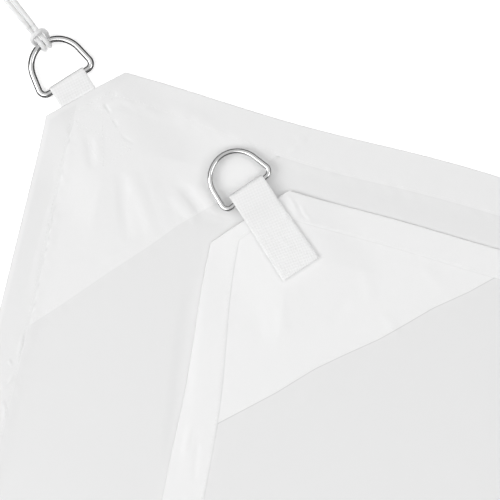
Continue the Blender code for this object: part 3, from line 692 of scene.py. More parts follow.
def flat_pattern():
    """The cloth cut into triangles: its points, and each triangle with what it is part of."""
    loops = {"edge": ring_of_points(edge_inset, 0), "body": ring_of_points(hem_inset, TIP_HEM)}
    loops.update({name: patch_outline(name) for name in CORNERS})
    points, faces, edges = [], [], []
    for loop in map(anticlockwise, loops.values()):
        faces.append(list(range(len(points), len(points) + len(loop))))
        points += loop
    rows = [ring_of_points(edge_inset, 0, row) for row in EDGE_ROWS]
    for row in [*rows, ring_of_points(hem_inset, TIP_HEM, -SHOULDER)]:
        first = len(points)
        points += row
        edges += [(k, k + 1) for k in range(first, len(points) - 1)] + [(len(points) - 1, first)]
    points += spread_points()
    found = delaunay_2d_cdt(points, edges, faces, TRIANGLES_INSIDE, SAME_PLACE, True)
    places, _, cells, _, _, outlines = found
    names = list(loops)
    triangles = []
    for corners, within in zip(cells, outlines):
        inside_of = {names[i] for i in within}
        if "edge" in inside_of:
            triangles.append((tuple(corners), inside_of))
    return np.array([tuple(p) for p in places]), triangles


# ---------------------------------------------------------------- how the cloth lies


def from_line(x, y, points):
    """Distance from a line through points, and the share of the line that is passed, 0 to 1."""
    nearest, share = np.full(np.shape(x), np.inf), np.zeros(np.shape(x))
    runs = [math.dist(start, end) for start, end in zip(points, points[1:])]
    passed = 0.0
    for (x0, y0), (x1, y1), run in zip(points, points[1:], runs):
        t = np.clip(((x - x0) * (x1 - x0) + (y - y0) * (y1 - y0)) / run**2, 0, 1)
        away = np.hypot(x - x0 - t * (x1 - x0), y - y0 - t * (y1 - y0))
        closer = away < nearest
        share = np.where(closer, (passed + t * run) / sum(runs), share)
        nearest = np.where(closer, away, nearest)
        passed += run
    return nearest, share


def creases(half, x, y):
    """Height that the creases of one half add where the cloth lies."""
    height = np.zeros(np.shape(x))
    for points, half_width, top in CREASES[half]:
        away, share = from_line(x / MM, y / MM, points)
        ends = np.clip(CREASE_ENDS * share * (1 - share), 0, 1)
        height = height + top * MM * ends * np.clip(1 - (away / half_width) ** 2, 0, 1) ** 2
    return height


def waver(x, y, length):
    """A smooth random value about 0 whose ups and downs are about a length apart."""
    rng = np.random.default_rng(WAVER_SEED)
    total = np.zeros(np.shape(x))
    for _ in range(WAVER_WAVES):
        angle, phase = rng.uniform(0, 2 * math.pi, 2)
        wave = 2 * math.pi / (length * rng.uniform(*WAVER_LENGTHS))
        total = total + np.sin(wave * (x * math.cos(angle) + y * math.sin(angle)) + phase)
    return total / math.sqrt(WAVER_WAVES)


def puckers(x, y):
    """How the cloth is drawn up and down beside its seams, at flat points."""
    inwards, width = SEAM_PUCKERS
    by_hem = np.exp(-((inside_hem(x, y) - inwards) / width) ** 2)
    by_patch = np.exp(-((patch_depth(x, y) + inwards) / width) ** 2)
    return PUCKER * np.maximum(by_hem, by_patch) * waver(x, y, PUCKER_LENGTH)


def soft_folds(half, x, y, depth):
    """Height that the soft folds of one half add where the cloth lies, growing in from its hem."""
    height = np.zeros(np.shape(x))
    for x0, y0, x1, y1, half_width, top in SOFT_FOLDS[half]:
        run_x, run_y = (x1 - x0) * MM, (y1 - y0) * MM
        length = math.hypot(run_x, run_y)
        t = ((x - x0 * MM) * run_x + (y - y0 * MM) * run_y) / length**2
        aside = ((x - x0 * MM) * run_y - (y - y0 * MM) * run_x) / length
        profile = np.clip(1 - (aside / (half_width * MM)) ** 2, 0, 1) ** 2
        height = height + top * MM * np.clip(4 * t * (1 - t), 0, 1) * profile
    reach, start = FOLDS_FADE[half]
    return height * smooth(depth / reach + start)


def off_strap(name, x, y):
    """How far a flat point is from a corner's webbing: 0 on it, and 1 where the cloth rests."""
    out, aside = from_tip(name, x, y)
    past_end = -out - strap_on_cloth(name)
    past_side = np.abs(aside) - WEB_WIDTH / 2
    return smooth((np.maximum(past_end, past_side) - STRAP_MARGIN) / STRAP_REST)


def stack(x, y):
    """Thickness of the cloth with its hem and patch, eased where they end."""
    under_hem = 1 - smooth(inside_hem(x, y) / REST)
    under_patch = smooth(patch_depth(x, y) / REST + 1)
    return CLOTH + LAYER * (under_hem + under_patch)


def hem_depth(x, y):
    """Thickness of the hem, which lies over the patch near a corner."""
    return CLOTH + LAYER * (1 + smooth(patch_depth(x, y) / REST + 1))


def leg_rise(name, out):
    """How far the upper leg of a corner's webbing has risen above its flat part."""
    t = np.clip((out - LEG_RISES_FROM) / (neck_from(name) - LEG_RISES_FROM), 0, 1)
    rise = BAR_HEIGHT[name] + LOOP_RADIUS - strap_levels(name)[1]
    return rise * (1 - np.cos(math.pi * t)) / 2


def lower_height(x, y):
    """Height of the lower half's face. It lies on the floor, and on hem, patch and webbing."""
    inwards = inside_edge(x, y)
    pile = stack(x, y)
    height = pile + LOOSE * smooth(inwards / LOOSE_FROM)
    height = height + (creases("lower", x, y) + puckers(x, y)) * smooth(inwards / CREASES_FROM)
    height = np.maximum(height, pile + LEAST_AIR)
    folds = soft_folds("lower", x, y, inside_hem(x, y))
    for name in LOWER:
        off = off_strap(name, x, y)
        out, _ = from_tip(name, x, y)
        height = height + (STRAP_STACK + leg_rise(name, out)) * (1 - off)
        folds = folds * off
    return height + folds


def upper_height(flat_x, flat_y, x, y, past_fold):
    """Height of the turned-over half's face, which looks down, at flat point and where it lies."""
    depth = inside_hem(flat_x, flat_y)
    lift = LAYER_LIFT + FOLD_LIFT * np.exp(-((np.maximum(past_fold, 0) / FOLD_SETTLES) ** 2))
    settled = smooth(past_fold / (2 * FOLD_SETTLES))
    lift = lift + EDGE_LIFT * (1 - smooth(depth / EDGE_CURL)) * settled
    height = lower_height(x, y) + lift + soft_folds("upper", x, y, depth)
    for name in UPPER:
        height = height + (TIP_HEIGHT - height) * (1 - off_strap(name, flat_x, flat_y))
    return height + (creases("upper", x, y) + puckers(flat_x, flat_y)) * smooth(past_fold / REST)


def turned_over(x, y):
    """Where flat points past the fold lie once turned over, and how far they are from its line."""
    _, down, normal = fold_line()
    from_fold = past_fold_line(x, y)
    reach = fold_reach()
    q = np.clip((from_fold - reach) / (past_fold_line(SIDE, 0) - reach), 0.0, None)
    bow = TOP_SIDE_BOW * 4 * q * (1 - q)
    lies_x = x - 2 * from_fold * normal.x + bow * down.x
    lies_y = y - 2 * from_fold * normal.y + bow * down.y
    return lies_x, lies_y, from_fold


def turned_back(lies_x, lies_y):
    """The flat point of a place on the turned-over half."""
    _, _, normal = fold_line()
    from_fold = -past_fold_line(lies_x, lies_y)
    flat_x, flat_y = lies_x + 2 * from_fold * normal.x, lies_y + 2 * from_fold * normal.y
    moved_x, moved_y, _ = turned_over(flat_x, flat_y)
    return float(flat_x + lies_x - moved_x), float(flat_y + lies_y - moved_y)


def lie(x, y):
    """Face points and the directions from face to reverse side, for arrays of flat points."""
    _, _, normal = fold_line()
    reach = fold_reach()
    lies_x, lies_y, from_fold = turned_over(x, y)
    turn = np.clip((from_fold / reach + 1) * math.pi / 2, 0, math.pi)
    lower = from_fold <= -reach
    upper = from_fold >= reach
    base_x = np.where(lower, x, np.where(upper, lies_x, x - (from_fold + reach) * normal.x))
    base_y = np.where(lower, y, np.where(upper, lies_y, y - (from_fold + reach) * normal.y))
    low = lower_height(base_x, base_y)
    high = upper_height(x, y, base_x, base_y, from_fold - reach)
    height = low + (high - low) * (1 - np.cos(turn)) / 2
    bulge = (LAYER_LIFT + FOLD_LIFT) / 2 * np.sin(turn)
    face = np.stack([base_x + bulge * normal.x, base_y + bulge * normal.y, height], axis=-1)
    back = np.stack([np.sin(turn) * normal.x, np.sin(turn) * normal.y, -np.cos(turn)], axis=-1)
    return face, back


def tip_frame(name):
    """The middle of the webbing where it crosses a tip's edge, and its direction, as they lie."""
    tip, outwards = flat_tip(name)
    if name in LOWER:
        return tip, outwards
    lies = Vector(turned_over(tip.x, tip.y)[:2])
    further = tip + outwards * MM
    return lies, (Vector(turned_over(further.x, further.y)[:2]) - lies).normalized()


# ---------------------------------------------------------------- materials


class Value:
    """A shader socket, whose operators add Math nodes."""

    def __init__(self, shader, socket):
        self.shader = shader
        self.socket = socket

    def maths(self, operation, *values):
        return self.shader.node("ShaderNodeMath", {"operation": operation}, *values)

    def __add__(self, other):
        return self.maths("ADD", self, other)

    def __sub__(self, other):
        return self.maths("SUBTRACT", self, other)

    def __mul__(self, other):
        return self.maths("MULTIPLY", self, other)

    def __radd__(self, other):
        return self.maths("ADD", other, self)

    def __rsub__(self, other):
        return self.maths("SUBTRACT", other, self)

    def __rmul__(self, other):
        return self.maths("MULTIPLY", other, self)

    def sine(self):
        return self.maths("SINE", self)

    def most(self, other):
        return self.maths("MAXIMUM", self, other)

    def step(self, start, end):
        """0 up to start and 1 from end, eased between."""
        settings = {"interpolation_type": "SMOOTHSTEP"}
        return self.shader.node("ShaderNodeMapRange", settings, self, start, end)

    def band(self, rise, fall):
        """1 between two spans, over which it rises and falls."""
        return self.step(*rise) * (1 - self.step(*fall))


class Shader:
    """A node tree, and one method that adds any node to it."""

    def __init__(self, tree):
        self.tree = tree

    def node(self, kind, settings=None, *values, output=0, named=None):
        made = self.tree.nodes.new(kind)
        for key, value in (settings or {}).items():
            setattr(made, key, value)
        for key, value in [*enumerate(values), *(named or {}).items()]:
            self.feed(made.inputs[key], value)
        return Value(self, made.outputs[output])

    def feed(self, socket, value):
        if isinstance(value, Value):
            self.tree.links.new(value.socket, socket)
        elif value is not None:
            socket.default_value = value

    def parts(self, vector):
        split = self.node("ShaderNodeSeparateXYZ", None, vector).socket.node
        return [Value(self, socket) for socket in split.outputs]

    def noise(self, vector, scale, detail):
        named = {"Vector": vector, "Scale": scale, "Detail": detail}
        return self.node("ShaderNodeTexNoise", None, named=named)

    def mix(self, factor, first, second):
        """A colour between two, each given as a grey level or a socket."""
        colours = [c if isinstance(c, Value) else (c, c, c, 1) for c in (first, second)]
        # The Mix node's names are shared by its kinds, so its colour sockets go by number
        named = {0: factor, 6: colours[0], 7: colours[1]}
        return self.node("ShaderNodeMix", {"data_type": "RGBA"}, named=named, output=2)


class Finish(Shader):
    """A material and its Principled shader."""

    def __init__(self, name, **sockets):
        self.material = bpy.data.materials.new(name)
        self.material.use_nodes = True
        super().__init__(self.material.node_tree)
        self.surface = self.tree.nodes["Principled BSDF"]
        self.set(**sockets)

    def set(self, **sockets):
        for key, value in sockets.items():
            self.feed(self.surface.inputs[key.replace("_", " ")], value)

    def attribute(self, name):
        return self.node("ShaderNodeAttribute", {"attribute_name": name}, output="Fac")

    def place(self, *, uv=False):
        """Object coordinates, or the piece's own UV map, as a vector."""
        return self.node("ShaderNodeTexCoord", output="UV" if uv else "Object")

    def bump(self, height, distance, strength):
        named = {"Strength": strength, "Distance": distance, "Height": height}
        self.set(Normal=self.node("ShaderNodeBump", None, named=named))


def cloth_finish():
    """White coated polyester: lighter where it is doubled, with a fine weave, and painted shade at
    its seams, folded edge and left hem.
    """
    finish = Finish("white coated polyester", Roughness=0.55)
    hem, patch, edge, left, reverse = map(
        finish.attribute, ("hem", "patch", "edge", "left", "reverse")
    )
    in_hem = 1 - hem.step(*LAYER_SHOWS)
    in_patch = patch.step(*LAYER_SHOWS)
    in_left = (1 - left.step(*LAYER_SHOWS)) * (1 - reverse)
    # The left hem dims its doubled tone on the face: painted shade where it curls.
    doubled = in_hem.most(in_patch) * (1 - in_left * LEFT_HEM_SHADE * (1 - edge.band(*RIM)))
    grey = finish.mix(doubled, SINGLE, finish.mix(reverse, *DOUBLED))
    # Painted shadow: dark lines at the foot of the hem and of each patch's diagonal
    face, more, at_left = HEM_SHADOW_SHARES
    hem_shadow = hem.band(*SEAM_SHADOW_SPANS) * (face + more * reverse + at_left * in_left * (1 - in_patch))
    face, more = PATCH_SHADOW_SHARES
    patch_shadow = (-1 * patch).band(*SEAM_SHADOW_SPANS) * hem.step(*PATCH_SHADOW_FROM)
    grey = finish.mix(hem_shadow.most(patch_shadow * (face + more * reverse)), grey, SEAM_SHADOW_GREY)
    # Painted shade: a dark line along the folded edge, on the face
    folded = (1 - edge.step(*EDGE_SHADE_SPAN)) * (1 - reverse)
    grey = finish.mix(folded * EDGE_SHADE, grey, PAINTED_SHADE_GREY)
    place = finish.place(uv=True)
    mottle = finish.noise(place, scale=9.0, detail=3.0)
    middle, full = MOTTLE_SHARES
    grey = finish.mix((mottle - 0.5) * full + middle, grey, MOTTLE_GREY)
    least, more = CLOTH_ROUGHNESS
    finish.set(Base_Color=grey, Roughness=least + more * mottle)
    across, along, _ = finish.parts(place)
    thread = 2 * math.pi / CLOTH_THREAD
    weave = (across * thread).sine() * (along * thread).sine()
    crumple = finish.noise(place, scale=60.0, detail=3.0)
    height = weave * CLOTH_BUMPS[0] + crumple * CLOTH_BUMPS[1]
    finish.bump(height, distance=0.25 * MM, strength=0.6)
    return finish.material


def webbing_finish():
    """Tight polyester webbing: cords along it that cross over in turn, and a firm edge, with
    painted shade between the cords and where it turns round the bar.
    """
    finish = Finish("white webbing", Roughness=0.75)
    along, across, _ = finish.parts(finish.place(uv=True))
    cords = 2 * math.pi / WEB_CORDS
    height = (across * cords).sine() * (along * cords).sine() * 0.5 + 0.5
    # Painted shade: a dark line where the webbing turns round the bar
    turn = 1 - finish.attribute("turn").step(*WEB_TURN)
    # Painted shade between the cords, by the weave's height
    grey = finish.mix(turn * WEB_TURN_SHADE, finish.mix(height, *WEB_SHADE_GREYS), PAINTED_SHADE_GREY)
    finish.set(Base_Color=grey)
    finish.bump(height, distance=0.25 * MM, strength=0.8)
    return finish.material


def steel_finish():
    """Bright steel wire with fine polishing marks along it."""
    finish = Finish("polished steel", Metallic=1.0, Roughness=0.14)
    place = finish.place(uv=True)
    drawn = finish.node("ShaderNodeMapping", None, place, named={"Scale": POLISH})
    marks = finish.noise(drawn, scale=1.0, detail=2.0)
    least, more = STEEL_ROUGHNESS
    finish.set(Base_Color=finish.mix(marks, *STEEL_GREYS), Roughness=least + more * marks)
    finish.bump(marks, distance=0.01 * MM, strength=0.4)
    return finish.material


def thread_finish():
    finish = Finish("white sewing thread", Roughness=0.6)
    grain = finish.noise(finish.place(), scale=2500.0, detail=1.0)
    finish.set(Base_Color=finish.mix(grain, *THREAD_GREYS))
    return finish.material


def cord_finish():
    """Braided polyester: each strand's yarns run with it, and the grooves between are darker with
    painted shade.
    """
    finish = Finish("white braided cord", Roughness=0.7, Sheen_Weight=0.4, Sheen_Roughness=0.5)
    finish.set(Subsurface_Weight=1.0, Subsurface_Radius=(1, 1, 1), Subsurface_Scale=3 * MM)
    yarn = finish.noise(finish.place(uv=True), scale=1800.0, detail=2.0)
    # Painted shade in the grooves between the yarns
    grey = finish.mix(finish.attribute("groove"), *CORD_SHADE_GREYS)
    finish.set(Base_Color=finish.mix(yarn * YARN_SHADE, grey, YARN_GREY))
    finish.bump(yarn, distance=0.05 * MM, strength=0.5)
    return finish.material


# ---------------------------------------------------------------- sheets


def add_object(name, data):
    """A new object in the scene, at the origin and unturned."""
    made = bpy.data.objects.new(name, data)
    bpy.context.scene.collection.objects.link(made)
    return made


def new_piece(name, mesh, finish, sharp=60.0):
    """An object for a mesh that is already in place, smooth but for its sharp edges."""
    mesh.shade_smooth()
    mesh.set_sharp_from_angle(angle=math.radians(sharp))
    mesh.materials.append(finish)
    return add_object(name, mesh)


def add_values(mesh, name, values):
    layer = mesh.attributes.new(name, "FLOAT", "POINT")
    layer.data.foreach_set("value", np.asarray(values, np.float32))


def add_uv(mesh, values):
    """A UV map from one pair of values for each vertex, in metres."""
    layer = mesh.uv_layers.new(name="flat")
    corners = np.empty(len(mesh.loops), np.int32)
    mesh.loops.foreach_get("vertex_index", corners)
    layer.data.foreach_set("uv", np.asarray(values, np.float32)[corners].ravel())


def rounded(x, y, near, far):
    """Depths near and far, brought together where the edge is round."""
    radius = np.minimum(EDGE_ROUND, (far - near) / 2)
    into = np.clip(inside_edge(x, y), 0, radius)
    cut = radius - np.sqrt(np.maximum(radius**2 - (radius - into) ** 2, 0))
    return near + cut, far - cut


def depths_of(x, y):
    """Depths below the face of its near side, of the hem's far side and of the body's far side."""
    near, hem = rounded(x, y, np.zeros(np.shape(x)), hem_depth(x, y))
    into_hem = np.clip(-inside_hem(x, y) / SHOULDER, 0, 1)
    hem = hem - SHOULDER_DROP * (1 - into_hem) ** 2
    return {"near": near, "hem": hem, "body": np.full(np.shape(x), CLOTH)}


def patch_depths(x, y):
    """Depths below the face of a patch's near side and far side."""
    edge = np.clip(patch_depth(x, y) / SHOULDER, 0, 1)
    far = CLOTH + LAYER - 0.5 * SHOULDER_DROP * (1 - edge) ** 2
    return {"near": np.full(np.shape(x), CLOTH + GAP / 2), "patch": far}


def sheet_piece(name, points, triangles, far_kinds, depths, finish):
    """A sheet between near and far from the face, with upright walls where the far side steps."""
    face, back = lie(points[:, 0], points[:, 1])
    owner = {}
    for corners, kind in zip(triangles, far_kinds):
        for i, j in zip(corners, corners[1:] + corners[:1]):
            owner[i, j] = kind
    made, places, faces = {}, [], []

    def vertex(index, kind):
        if (index, kind) not in made:
            made[index, kind] = len(places)
            places.append(face[index] + back[index] * depths[kind][index])
        return made[index, kind]

    for corners, kind in zip(triangles, far_kinds):
        faces.append([vertex(i, "near") for i in corners])
        faces.append([vertex(i, kind) for i in reversed(corners)])
    for (i, j), kind in owner.items():
        other = owner.get((j, i), "near")
        if other == kind or (other != "near" and kind == "body"):
            continue
        faces.append([vertex(i, kind), vertex(j, kind), vertex(j, other), vertex(i, other)])
    mesh = bpy.data.meshes.new(name)
    mesh.from_pydata([tuple(p - np.array(ORIGIN)) for p in places], [], faces)
    index = np.array([i for i, _ in made])
    x, y = points[index, 0], points[index, 1]
    add_values(mesh, "hem", inside_hem(x, y))
    add_values(mesh, "patch", patch_depth(x, y))
    add_values(mesh, "edge", inside_edge(x, y))
    add_values(mesh, "left", x - hem_inset("A", "b", -y))
    add_values(mesh, "reverse", [float(kind != "near") for _, kind in made])
    add_uv(mesh, np.stack([x, y], axis=-1))
    return new_piece(name, mesh, finish)


def make_cloth():
    """The sail and its four patches, from one flat pattern."""
    points, triangles = flat_pattern()
    x, y = points[:, 0], points[:, 1]
    finish = cloth_finish()
    corners = [t for t, _ in triangles]
    kinds = ["body" if "body" in within else "hem" for _, within in triangles]
    sail = sheet_piece("sail_cloth", points, corners, kinds, depths_of(x, y), finish)
    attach(sail, "root")
    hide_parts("sail")
    for name, row in CORNERS.items():
        own = [t for t, within in triangles if name in within]
        kinds = ["patch"] * len(own)
        patch = sheet_piece(f"patch_cloth_{name}", points, own, kinds, patch_depths(x, y), finish)
        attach(patch, "root")
        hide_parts(f"patch_{name}")
        legs = [leg * MM for leg in row["patch"]]
        0.36 * legs[0] * legs[1]


# ---------------------------------------------------------------- stitches


class Rule(Shader):
    """A Geometry Nodes tree with named inputs for its sizes."""

    def __init__(self, name, sizes):
        super().__init__(bpy.data.node_groups.new(name, "GeometryNodeTree"))
        self.sizes = sizes
        sockets = self.tree.interface
        for way in ("INPUT", "OUTPUT"):
            sockets.new_socket("Geometry", in_out=way, socket_type="NodeSocketGeometry")
        for label, value in sizes.items():
            kind = "NodeSocketMaterial" if label == "Finish" else "NodeSocketFloat"
            socket = sockets.new_socket(label, in_out="INPUT", socket_type=kind)
            if label != "Finish":
                socket.default_value = value
        self.start = self.tree.nodes.new("NodeGroupInput")
        self.end = self.tree.nodes.new("NodeGroupOutput")

    def given(self, label):
        return Value(self, self.start.outputs[label])

    def result(self, geometry):
        self.feed(self.end.inputs[0], geometry)

    def built(self, name, mesh):
        """A plain mesh: the rule at work on a mesh."""
        guide = add_object(f"{name}_guide", mesh)
        modifier = guide.modifiers.new("rule", "NODES")
        modifier.node_group = self.tree
        for item in self.tree.interface.items_tree:
            if item.in_out == "INPUT" and item.name in self.sizes:
                modifier[item.identifier] = self.sizes[item.name]
        graph = bpy.context.evaluated_depsgraph_get()
        made = bpy.data.meshes.new_from_object(guide.evaluated_get(graph), depsgraph=graph)
        guide.modifiers.remove(modifier)
        bpy.data.objects.remove(guide)
        return made


def stitch_rule(finish):
    """Stitches along the lines of a mesh, each a small bar of thread that lies on the cloth."""
    sizes = {"Pitch": STITCH_PITCH, "Length": STITCH_LENGTH, "Thread": THREAD, "Finish": finish}
    rule = Rule("stitches", sizes)
    line = rule.node("GeometryNodeMeshToCurve", None, rule.given("Geometry"))
    named = {"Curve": line, "Length": rule.given("Pitch")}
    points = rule.node("GeometryNodeResampleCurve", {"mode": "LENGTH"}, named=named)
    named = {"Segments": 6, "Rings": 3, "Radius": 0.5}
    bar = rule.node("GeometryNodeMeshUVSphere", None, named=named)
    vectors = {"data_type": "FLOAT_VECTOR"}
    up = rule.node("GeometryNodeInputNamedAttribute", vectors, named={"Name": "up"})
    along = rule.node("GeometryNodeInputTangent")
    axes = {"primary_axis": "Z", "secondary_axis": "X"}
    turn = rule.node("FunctionNodeAxesToRotation", axes, up, along)
    numbers = {"data_type": "FLOAT"}
    share = rule.node("FunctionNodeRandomValue", numbers, named=STITCH_VARIES, output=1)
    thread = rule.given("Thread")
    length = rule.given("Length") * share
    size = rule.node("ShaderNodeCombineXYZ", None, length, thread, thread * THREAD_FLAT)
    named = {"Points": points, "Instance": bar, "Rotation": turn, "Scale": size}
    bars = rule.node("GeometryNodeInstanceOnPoints", None, named=named)
    whole = rule.node("GeometryNodeRealizeInstances", None, bars)
    named = {"Geometry": whole, "Material": rule.given("Finish")}
    rule.result(rule.node("GeometryNodeSetMaterial", None, named=named))
    return rule


def seam_lines():
    """Flat lines of stitches: round the hem, and along each patch's diagonal."""
    round_hem = ring_of_points(hem_inset, TIP_HEM, -SEAM_INSIDE)
    lines = [round_hem + round_hem[:1]]
    for name in CORNERS:
        outline = patch_outline(name)
        x, y = np.array([tuple(p) for p in outline]).T
        on_diagonal = np.abs(patch_depth(x, y)) < ON_DIAGONAL
        diagonal = [p for p, there in zip(outline, on_diagonal) if there]
        corner = from_corner(name, 0, 0)
        lines.append([p + (corner - p).normalized() * SEAM_INSIDE for p in diagonal])
    return lines


def line_mesh(name, lines):
    """Lines of points, each with the direction that is up there, as a mesh of edges."""
    places, ups, edges = [], [], []
    for points, directions in lines:
        edges += [(len(places) + k, len(places) + k + 1) for k in range(len(points) - 1)]
        places += [tuple(p) for p in points]
        ups += [tuple(d) for d in directions]
    mesh = bpy.data.meshes.new(f"{name}_lines")
    mesh.from_pydata(places, edges, [])
    layer = mesh.attributes.new("up", "FLOAT_VECTOR", "POINT")
    layer.data.foreach_set("vector", np.asarray(ups, np.float32).ravel())
    return mesh


def on_sheet(flat_line, far):
    """A flat line laid on the sheet's face, or on its reverse side, with the direction off it."""
    line, _ = resampled([tuple(p) for p in flat_line], SEAM_LINE_STEP)
    x, y = line[:, 0], line[:, 1]
    face, back = lie(x, y)
    depth = np.zeros(len(x))
    if far:
        depth = np.where(inside_hem(x, y) < 0, hem_depth(x, y), CLOTH + LAYER)
    outwards = back if far else -back
    places = face + back * depth[:, None] + outwards * THREAD_LIFT - np.array(ORIGIN)
    return places, outwards


def box_and_cross(length, width):
    """Lines of a box with its two diagonals, about its middle."""
    a, b = length / 2, width / 2
    box = [(-a, -b), (a, -b), (a, b), (-a, b), (-a, -b)]
    return [box, [(-a, -b), (a, b)], [(-a, b), (a, -b)]]


def webbing_seams(name):
    """The box and cross that hold the webbing, as lines of places and their directions."""
    tip, outwards = tip_frame(name)
    sideways = left_of(outwards)
    level = strap_levels(name)[1] + WEB / 2 + BOX_LIFT
    start, end = -strap_on_cloth(name) + BOX_END, LEG_RISES_FROM
    lines = []
    for line in box_and_cross(end - start, WEB_WIDTH - 2 * BOX_SIDE):
        line = [((start + end) / 2 + out, aside) for out, aside in line]
        line, _ = resampled(line, SEAM_LINE_STEP)
        flat = [tip + outwards * out + sideways * aside for out, aside in line]
        if name in LOWER:
            lines.append(on_sheet(flat, False))
            continue
        places = np.array([(p.x, p.y, level) for p in flat]) - np.array(ORIGIN)
        lines.append((places, np.tile((0.0, 0.0, 1.0), (len(places), 1))))
    return lines


def make_seams():
    """Stitches of the hems, patches and webbing."""
    rule = stitch_rule(thread_finish())
    for name, far in (("seams_face", False), ("seams_reverse", True)):
        lines = [on_sheet(line, far) for line in seam_lines()]
        add_seam(name, rule.built(name, line_mesh(name, lines)))
    for name in CORNERS:
        lines = line_mesh(f"box_{name}", webbing_seams(name))
        add_seam(f"webbing_seam_{name}", rule.built(f"box_{name}", lines))


def add_seam(name, mesh):
    mesh.name = name
    mesh.shade_smooth()
    seam = add_object(name, mesh)
    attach(seam, "root")


# ---------------------------------------------------------------- webbing


def ease(start, end, steps):
    """Points from start to end that leave and arrive level, without the first one."""
    points = []
    for k in range(1, steps + 1):
        t = k / steps
        lift = (1 - math.cos(math.pi * t)) / 2
        points.append((start[0] + (end[0] - start[0]) * t, start[1] + (end[1] - start[1]) * lift))
    return points


def strap_levels(name):
    """Heights of the middles of the webbing's two legs where they lie flat."""
    low = WEB / 2
    if name in UPPER:
        low = TIP_HEIGHT + CLOTH + 2 * LAYER + WEB_GAP + WEB / 2
    return low, low + WEB + WEB_GAP


def bar_out(name):
    """How far out of the tip the ring's bar lies, and where the webbing's loop turns round it."""
    turns_at = CORNERS[name]["reach"] * MM - LOOP_RADIUS - WEB / 2
    slant = WEB_WIDTH / 2 * math.tan(math.radians(abs(CORNERS[name]["ring_turn"])))
    return turns_at - slant, turns_at


def neck_from(name):
    """How far out of the tip the webbing's legs run straight, up to the loop."""
    bar, turns_at = bar_out(name)
    return 2 * bar - turns_at - LOOP_NECK


def strap_path(name):
    """Middle line of the webbing, as distance out of the tip and height, from leg to leg."""
    inner = -strap_on_cloth(name)
    low, high = strap_levels(name)
    _, turns_at = bar_out(name)
    neck = neck_from(name)
    height = BAR_HEIGHT[name]
    rise_steps, loop_steps, fall_steps = STRAP_STEPS
    path = [(inner, low), (LEG_LEVELS_OUT, low)]
    path += ease((LEG_LEVELS_OUT, low), (neck, height - LOOP_RADIUS), rise_steps)
    for k in range(loop_steps + 1):
        angle = math.pi * (k / loop_steps - 0.5)
        out, up = LOOP_RADIUS * math.cos(angle), LOOP_RADIUS * math.sin(angle)
        path.append((turns_at + out, height + up))
    for out in np.linspace(neck, LEG_RISES_FROM, fall_steps + 1):
        path.append((out, high + float(leg_rise(name, out))))
    path.append((inner, high))
    return np.array(path)


def resampled(points, step):
    """Points at equal distances along a line, and those distances."""
    points = np.asarray(points, float)
    lengths = np.concatenate([[0], np.cumsum(np.linalg.norm(np.diff(points, axis=0), axis=1))])
    count = max(2, int(round(lengths[-1] / step)) + 1)
    at = np.linspace(0, lengths[-1], count)
    return np.stack([np.interp(at, lengths, column) for column in points.T], axis=-1), at


def grid_faces(rows, columns, closed=False):
    """Quads of rows of vertices, numbered row by row, where each row goes round."""
    faces = []
    for i in range(rows if closed else rows - 1):
        here, there = i * columns, (i + 1) % rows * columns
        for j in range(columns):
            after = (j + 1) % columns
            faces.append((here + j, here + after, there + after, there + j))
    return faces


def add_grid_uv(mesh, along, across):
    """A UV map of rows of vertices, from each row's distance and each column's."""
    along, across = np.broadcast_arrays(along[:, None], across[None, :])
    add_uv(mesh, np.stack([along, across], axis=-1).reshape(-1, 2))


def make_strap(name, finish):
    """Webbing folded round the ring's bar: a band with rounded edges."""
    line, along = resampled(strap_path(name), STRAP_STEP)
    run = np.gradient(line, axis=0)
    run /= np.linalg.norm(run, axis=1)[:, None]
    normal = np.stack([-run[:, 1], run[:, 0]], axis=-1)
    t = np.linspace(-1, 1, STRAP_COLUMNS)
    thin = np.sqrt(np.clip(1 - np.abs(t) ** STRAP_EDGE, 0, 1))
    across = np.concatenate([t, t[::-1]]) * WEB_WIDTH / 2
    offset = np.concatenate([thin, -thin[::-1]]) * WEB / 2
    tip, outwards = tip_frame(name)
    sideways = left_of(outwards)
    out = line[:, 0][:, None] + normal[:, 0][:, None] * offset[None, :]
    up = line[:, 1][:, None] + normal[:, 1][:, None] * offset[None, :]
    spreads = WEB_SPREADS if name in UPPER else 0
    aside = across[None, :] * (1 + np.clip(-out / strap_on_cloth(name), 0, 1) * spreads)
    x = tip.x + outwards.x * out + sideways.x * aside - ORIGIN.x
    y = tip.y + outwards.y * out + sideways.y * aside - ORIGIN.y
    places = np.stack([x, y, up], axis=-1).reshape(-1, 3)
    rows, round_count = out.shape
    faces = grid_faces(rows, round_count)
    faces.append(tuple(range(round_count))[::-1])
    faces.append(tuple(range((rows - 1) * round_count, rows * round_count)))
    mesh = bpy.data.meshes.new(f"webbing_{name}")
    mesh.from_pydata(places.tolist(), [], faces)
    turned_out(mesh)
    add_grid_uv(mesh, along, across)
    # The painted shade line at the turn is finer at the upper corners
    finer = UPPER_SHADE_FINER if name in UPPER else 1
    add_values(mesh, "turn", np.abs(out - CORNERS[name]["reach"] * MM).reshape(-1) * finer)
    strap = new_piece(f"webbing_{name}", mesh, finish)
    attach(strap, "root")
    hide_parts(f"strap_{name}")


def turned_out(mesh):
    """Turns a closed mesh's faces outwards."""
    form = bmesh.new()
    form.from_mesh(mesh)
    bmesh.ops.recalc_face_normals(form, faces=form.faces[:])
    form.to_mesh(mesh)
    form.free()


# ---------------------------------------------------------------- rings


